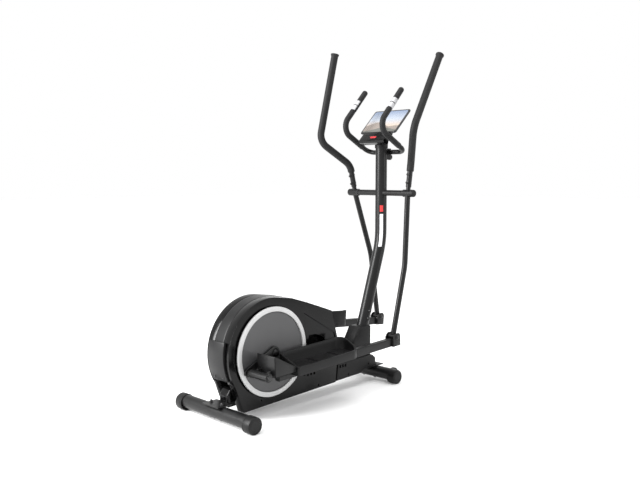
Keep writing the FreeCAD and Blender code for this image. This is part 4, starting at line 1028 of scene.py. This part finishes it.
def make_sensors(name, side, tip, axis):
    """Two pulse sensors: a metal plate to the palm and a plastic back on each."""
    palm = Vector((0, side, 0)) * 0.6 + Vector((-axis.z, 0, axis.x)) * 0.85
    palm = (palm - axis * palm.dot(axis)).normalized()
    plates, backs = Shape(), Shape()
    for near, far in SENSORS:
        for shape, first, sweep in ((plates, -105, 210), (backs, 107, 146)):
            begin = Matrix.Rotation(math.radians(first), 3, axis) @ palm
            shape.lathe(sensor_profile(far - near), tip - axis * far, axis, 28, sweep, begin)
    backs.lathe(SENSOR_RING, tip - axis * 0.1113, axis, 56)
    plates.piece("pulse_plates_" + name, "handlebar", ["pulse_sensors"], "silver", "plate")
    backs.piece("pulse_backs_" + name, "handlebar", ["pulse_sensors"], "satin_shell", "satin")


def make_bar_side(name, side, bar):
    """Foam above and below the pulse sensors on one horn of the handlebar."""
    elbow = bar + Vector((0, side * 0.124, 0))
    corner = bar + Vector((-0.2195, side * 0.124, 0.118))
    tip = bar + Vector((-0.0315, side * 0.122, 0.318))
    axis = (tip - corner).normalized()
    upper = Shape().sweep([(tip - axis * d, -axis, r) for d, r in BAR_TIP], 32)
    foam_piece(upper, "bar_grip_upper_" + name, "handlebar", "handlebar_grips")
    start = elbow + (corner - elbow).normalized() * 0.060
    path = bent_path([start, corner, tip - axis * 0.146], (0.057,), BAR_RADIUS, 12)
    lower = Shape().sweep(rounded_ends(path, BAR_END), 32)
    foam_piece(lower, "bar_grip_lower_" + name, "handlebar", "handlebar_grips")
    make_sensors(name, side, tip, axis)


def make_clamp(bar):
    """Clamp plate behind the handlebar's middle."""
    front = bar.x + 0.01
    clamp = Shape()
    clamp.box((bar.x + 0.0005, -0.018, bar.z - 0.039), (bar.x + 0.0155, 0.018, bar.z + 0.019))
    clamp.ease(0.004, 3, 40, lambda p: p.x > front)
    clamp.piece("bar_clamp", "frame", ["handlebar_clamp"], "frame_paint", "coat")


def make_knob():
    """Clamp knob with eight finger hollows, on its screw."""
    lobes, hollow = 8, 0.10
    pivot = joint_place("clamp_knob_turn")
    x, z = pivot.x, pivot.z
    knob = Shape()
    knob.rod((x - 0.0245, 0, z), (x - 0.002, 0, z), 0.004, sides=24)
    for vert in knob.rod((x - 0.0040, 0, z), (x + 0.0100, 0, z), 0.0168, 0.0155, sides=48):
        around = math.atan2(vert.co.y - pivot.y, vert.co.z - z)
        shrink = 1.0 - hollow * (0.5 + 0.5 * math.cos(lobes * around))
        vert.co.y = pivot.y + (vert.co.y - pivot.y) * shrink
        vert.co.z = z + (vert.co.z - z) * shrink
    knob.ease(0.0016, 3, 50)
    knob.piece("bar_knob", "clamp_knob", ["clamp_knob"], "satin_shell", "grain")


def make_handlebar():
    bar = joint_place("handlebar_tilt")
    for name, side in SIDES:
        make_bar_side(name, side, bar)
    make_clamp(bar)
    make_knob()


# Console and tablet ------------------------------------------------------------------------

TILT = math.radians(44.3)
SLOPE = Vector((math.cos(TILT), 0, math.sin(TILT)))
FACE = Vector((-math.sin(TILT), 0, math.cos(TILT)))
CONSOLE_FOOT = spot(0.8055, 0, 1.280)
CONSOLE_BACK = CONSOLE_FOOT - FACE * 0.0085
CONSOLE_LOW = 1.202
BODY_HALF = 0.050
LIP_HALF = 0.084
KEY_HALF = 0.0150
KEY_RADIUS = 0.0066
TABLET_HALF, TABLET_TALL, TABLET_THICK, TABLET_CORNER = 0.1195, 0.177, 0.008, 0.012
NECK = ((0.0304, 0.0), (0.0334, 0.0), (0.0338, 0.0008), (0.0338, 0.038), (0.0304, 0.038))


def make_console_body():
    """Shell behind the tablet with four slots, and the collar that sits on the mast."""
    face = CONSOLE_BACK + SLOPE * 0.108
    top, low = face - FACE * 0.0156, spot(0.860, 0, CONSOLE_LOW + 0.040)
    line = [CONSOLE_BACK + SLOPE * 0.003, face, top, low, spot(0.799, 0, CONSOLE_LOW + 0.030)]
    front = spot(0.83, 0, 0).x
    shell = Shape()
    shell.slab([p - ACROSS * BODY_HALF for p in line], ACROSS * 2 * BODY_HALF)
    shell.ease(0.005, 4, 12, lambda p: p.x > front)
    down, half = (low - top).normalized(), ACROSS * 0.030
    for row in range(4):
        upper = top + down * (0.022 + row * 0.011)
        lower = upper + down * 0.0045
        shell.patch([upper - half, upper + half, lower + half, lower - half], (-1, 0, 0.6), 0.0006, -0.004)
    shell.lathe(NECK, spot(0.840, 0, CONSOLE_LOW), UP, 64)
    shell.piece("console_body", "frame", ["console_shell"], "gloss_shell", "grain", 24)


def make_console_front():
    """Lip with the tablet's ledge, a shallow panel and the well of the start key, and the key."""
    ledge = CONSOLE_FOOT - FACE * 0.009
    first, last = ledge - SLOPE * 0.004 + FACE * 0.014, spot(0.7555, 0, 1.238)
    line = [ledge - SLOPE * 0.0004, ledge - SLOPE * 0.0004 + FACE * 0.014, first, last,
            spot(0.7595, 0, 1.227), spot(0.792, 0, CONSOLE_LOW + 0.016), CONSOLE_BACK - SLOPE * 0.008]
    rear = spot(0.79, 0, 0).x
    lip = Shape()
    lip.slab([p - ACROSS * LIP_HALF for p in line], ACROSS * 2 * LIP_HALF)
    lip.ease(0.0035, 4, 12, lambda p: p.x < rear)
    slope = (first - last).normalized()
    out = Vector((-slope.z, 0, slope.x))
    middle = (first + last) / 2
    panel = [middle + slope * up + ACROSS * y
             for up, y in ((0.015, -0.060), (0.015, 0.060), (-0.015, 0.060), (-0.015, -0.060))]
    lip.patch(panel, -out, 0.0008, -0.0006)
    middle -= slope * 0.004
    well = []
    for end, begin in ((KEY_HALF, -90), (-KEY_HALF, 90)):
        for angle in (math.radians(begin + 18 * n) for n in range(11)):
            well.append(middle + ACROSS * end + slope * KEY_RADIUS * math.sin(angle)
                        + ACROSS * KEY_RADIUS * math.cos(angle))
    lip.patch(well, -out, 0.0004, -0.0080)
    lip.piece("console_front", "frame", ["console_lip"], "gloss_shell", "gloss", 24)
    key = Shape()
    key.slab([p + (p - middle) * -0.07 - out * 0.0050 for p in well], out * 0.0062)
    key.ease(0.0016, 3, 50, lambda p: (p - middle).dot(out) > 0)
    key.piece("start_key", "console_key", ["console_key"], "red", "red")


def make_tablet():
    """Flat case with round corners and the lit screen set in its face."""
    ring = []
    for along, wide, begin in ((1, 1, 0), (-1, 1, 90), (-1, -1, 180), (1, -1, 270)):
        for angle in (math.radians(begin + 11.25 * step) for step in range(9)):
            ring.append((along * (TABLET_TALL / 2 - TABLET_CORNER) + TABLET_CORNER * math.cos(angle),
                         wide * (TABLET_HALF - TABLET_CORNER) + TABLET_CORNER * math.sin(angle)))
    middle = CONSOLE_FOOT + SLOPE * TABLET_TALL / 2
    case = Shape()
    case.slab([middle - FACE * TABLET_THICK + SLOPE * u + ACROSS * v for u, v in ring],
              FACE * TABLET_THICK)
    case.ease(0.0022, 4, 50)
    case.piece("tablet_case", "tablet", ["tablet"], "screen", "case")
    border = 0.0085
    tall, wide = 1 - 2 * border / TABLET_TALL, 1 - border / TABLET_HALF
    glass = Shape()
    glass.slab([middle + SLOPE * u * tall + ACROSS * v * wide - FACE * 0.0004 for u, v in ring],
               FACE * 0.0007)
    glass.piece("tablet_screen", "tablet", ["tablet"], "screen", "picture")


def make_console():
    make_console_body()
    make_console_front()
    make_tablet()


# Base --------------------------------------------------------------------------------------
# The caps' sections give the distance out from the tube's axis and the distance past the face.

REAR_CAP_FACE, REAR_CAP_Z = 0.260, 0.0375
REAR_CAP = ((0.0308, -0.046), (0.0366, -0.046), (0.0375, -0.0450), (0.0375, -0.0405),
            (0.0366, -0.0395), (0.0366, -0.0375), (0.0375, -0.0365), (0.0375, -0.0050),
            (0.0362, -0.0018), (0.0335, -0.0003), (0.0270, 0), (0.0262, -0.0010),
            (0.0250, -0.0010), (0.0242, 0), (0, 0), (0, -0.0055), (0.0308, -0.0055))
FRONT_CAP_FACE, FRONT_CAP_Z = 0.189, 0.035
FRONT_CAP = ((0.0304, -0.046), (0.0342, -0.046), (0.0350, -0.0452), (0.0350, -0.0410),
             (0.0342, -0.0402), (0.0342, -0.0384), (0.0350, -0.0376), (0.0350, -0.0050),
             (0.0338, -0.0018), (0.0312, -0.0003), (0.0250, 0), (0.0242, -0.0010),
             (0.0230, -0.0010), (0.0222, 0), (0, 0), (0, -0.0055), (0.0304, -0.0055))
REAR_TUBE_X, FRONT_TUBE_X = AXLE.x - 0.2495, AXLE.x + 0.758
WHEEL_HALF = ((0.0042, 0.0085), (0.0080, 0.0090), (0.0085, 0.0060), (0.0170, 0.0060),
              (0.0180, 0.0088), (0.0245, 0.0088), (0.0258, 0.0070), (0.0260, 0.0020),
              (0.0252, 0.0010))
TUBE_NUT = ((0, 0.0115), (0.0028, 0.0110), (0.0052, 0.0090), (0.0062, 0.0062), (0.0066, 0.0050),
            (0.0069, 0.0010), (0.0088, 0.0008), (0.0090, -0.0004), (0, -0.0004))
CARRIAGE_HEAD = ((0, 0.0040), (0.0050, 0.0036), (0.0085, 0.0016), (0.0090, 0.0), (0, 0.0))
MAST_HEAD = ((0, 0.0028), (0.0026, 0.0028), (0.0030, 0.0046), (0.0050, 0.0050), (0.0072, 0.0036),
             (0.0080, 0.0008), (0.0092, 0.0006), (0.0094, -0.0012), (0, -0.0012))


def make_cap(section, face, place, side):
    """Turned end cap, from its section and the distance of its face from the middle plane."""
    cap = Shape()
    cap.lathe([(out, face + past) for out, past in section], place, ACROSS * side, 72)
    return cap


def make_feet(name, side):
    """Levelling cap, transport wheel and front cap of one side."""
    low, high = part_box("leveller_" + name)
    rear = make_cap(REAR_CAP, REAR_CAP_FACE, ((low.x + high.x) / 2, 0, REAR_CAP_Z), side)
    rear.piece("levelling_cap_" + name, name + "_leveller", ["leveller_" + name], "satin_shell", "grain")
    low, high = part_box("transport_wheel_" + name)
    section = [(out, -past) for out, past in WHEEL_HALF] + list(reversed(WHEEL_HALF))
    wheel = Shape()
    wheel.lathe(section, (low + high) / 2, ACROSS, 56)
    wheel.piece("wheel_" + name, name + "_wheel", ["transport_wheel_" + name], "pulley", "filled")
    front = make_cap(FRONT_CAP, FRONT_CAP_FACE, (FRONT_TUBE_X, 0, FRONT_CAP_Z), side)
    front.piece("front_cap_" + name, "frame", ["front_caps"], "satin_shell", "grain")


def make_base_nuts():
    """Bolts through both tubes, with domed nuts above and carriage heads below."""
    nuts = Shape()
    for x in (REAR_TUBE_X, FRONT_TUBE_X):
        for y in (-0.038, 0.038):
            nuts.lathe(TUBE_NUT, (x, y, 0.0778), UP, 24)
            nuts.rod((x, y, 0.011), (x, y, 0.079), 0.004, sides=16)
            nuts.lathe(CARRIAGE_HEAD, (x, y, 0.0125), -UP, 28)
    nuts.piece("stabiliser_nuts", "frame", ["stabiliser_bolts"], "zinc_black", "zinc")


def make_mast_bolts():
    """Two bolts across the mast's foot, which leans by one in three."""
    half = 0.0310
    heads = Shape()
    for z in (0.324, 0.362):
        x = AXLE.x + 0.840 - (0.715 - z) / 3
        heads.rod((x, -half, z), (x, half, z), 0.004, sides=16)
        for sign in (-1, 1):
            heads.lathe(MAST_HEAD, (x, sign * half, z), ACROSS * sign, 28)
    heads.piece("mast_bolt_heads", "frame", ["mast_bolts"], "zinc_black", "zinc")


def mast_band(name, bottom, top, finish):
    """Thin painted stripe on the mast's rear right face."""
    stripe = Shape()
    stripe.bm.from_mesh(frame["nodes"]["mast"].data)
    bmesh.ops.remove_doubles(stripe.bm, verts=stripe.bm.verts[:], dist=1e-6)
    cuts = (((0, -0.0145, 0), ACROSS), ((0, -0.0265, 0), -ACROSS), ((0, 0, top), UP), ((0, 0, bottom), -UP))
    for place, normal in cuts:
        geom = stripe.bm.verts[:] + stripe.bm.edges[:] + stripe.bm.faces[:]
        bmesh.ops.bisect_plane(stripe.bm, geom=geom, dist=1e-6, plane_co=place, plane_no=normal,
                               clear_outer=True)
    stripe.bm.normal_update()
    spare = [f for f in stripe.bm.faces if f.normal.x > -0.2 or f.normal.y > -0.2]
    bmesh.ops.delete(stripe.bm, geom=spare, context="FACES")
    bmesh.ops.solidify(stripe.bm, geom=stripe.bm.faces[:], thickness=-0.0003)
    stripe.piece(name, "frame", [], "silver", finish)


def make_base():
    for name, side in SIDES:
        make_feet(name, side)
    make_base_nuts()
    make_mast_bolts()
    mast_band("mast_stripe", 0.690, 0.860, "stripe")
    mast_band("mast_mark", 0.872, 0.905, "mark")


make_housing()
make_cranks()
make_pedals()
make_arms()
make_handlebar()
make_console()
make_base()


# Studio ------------------------------------------------------------------------------------

FLOOR_HALF = 30
PANELS = (("left_panel", (-3.6, 1.6, 2.2), (0, 0, 0.8), 1.5, 2.8, 330),
          ("right_panel", (1.8, -4.2, 2.0), (0, 0, 0.7), 0.8, 2.6, 50),
          ("top_panel", (-0.4, -0.6, 4.2), (0, 0, 0.4), 2.6, 2.6, 70))


def make_floor():
    """Wide pale floor, faintly lit so that its far side meets the backdrop."""
    made = bmesh.new()
    bmesh.ops.create_grid(made, x_segments=2, y_segments=2, size=FLOOR_HALF)
    mesh = bpy.data.meshes.new("floor")
    made.to_mesh(mesh)
    made.free()
    floor = bpy.data.objects.new("floor", mesh)
    bpy.context.scene.collection.objects.link(floor)
    pale = Finish("pale_floor")
    pale.paint(Base_Color=pale.mix(pale.noise(3, 3), (0.88, 0.88, 0.88), (0.91, 0.91, 0.91)),
               Roughness=0.75, Emission_Color=(1, 1, 1, 1), Emission_Strength=0.12)
    mesh.materials.append(pale.material)


def make_light():
    """White surroundings and three soft panels."""
    world = bpy.data.worlds.new("studio")
    world.use_nodes = True
    bpy.context.scene.world = world
    world.node_tree.nodes["Background"].inputs["Color"].default_value = (1, 1, 1, 1)
    world.node_tree.nodes["Background"].inputs["Strength"].default_value = 1.0
    for name, place, aim, wide, tall, power in PANELS:
        data = bpy.data.lights.new(name, "AREA")
        data.shape = "RECTANGLE"
        data.size, data.size_y, data.energy = wide, tall, power
        light = bpy.data.objects.new(name, data)
        light.location = place
        light.rotation_euler = (Vector(aim) - Vector(place)).to_track_quat("-Z", "Y").to_euler()
        light.visible_camera = False
        bpy.context.scene.collection.objects.link(light)
    bpy.context.scene.view_settings.view_transform = "Standard"


make_floor()
make_light()
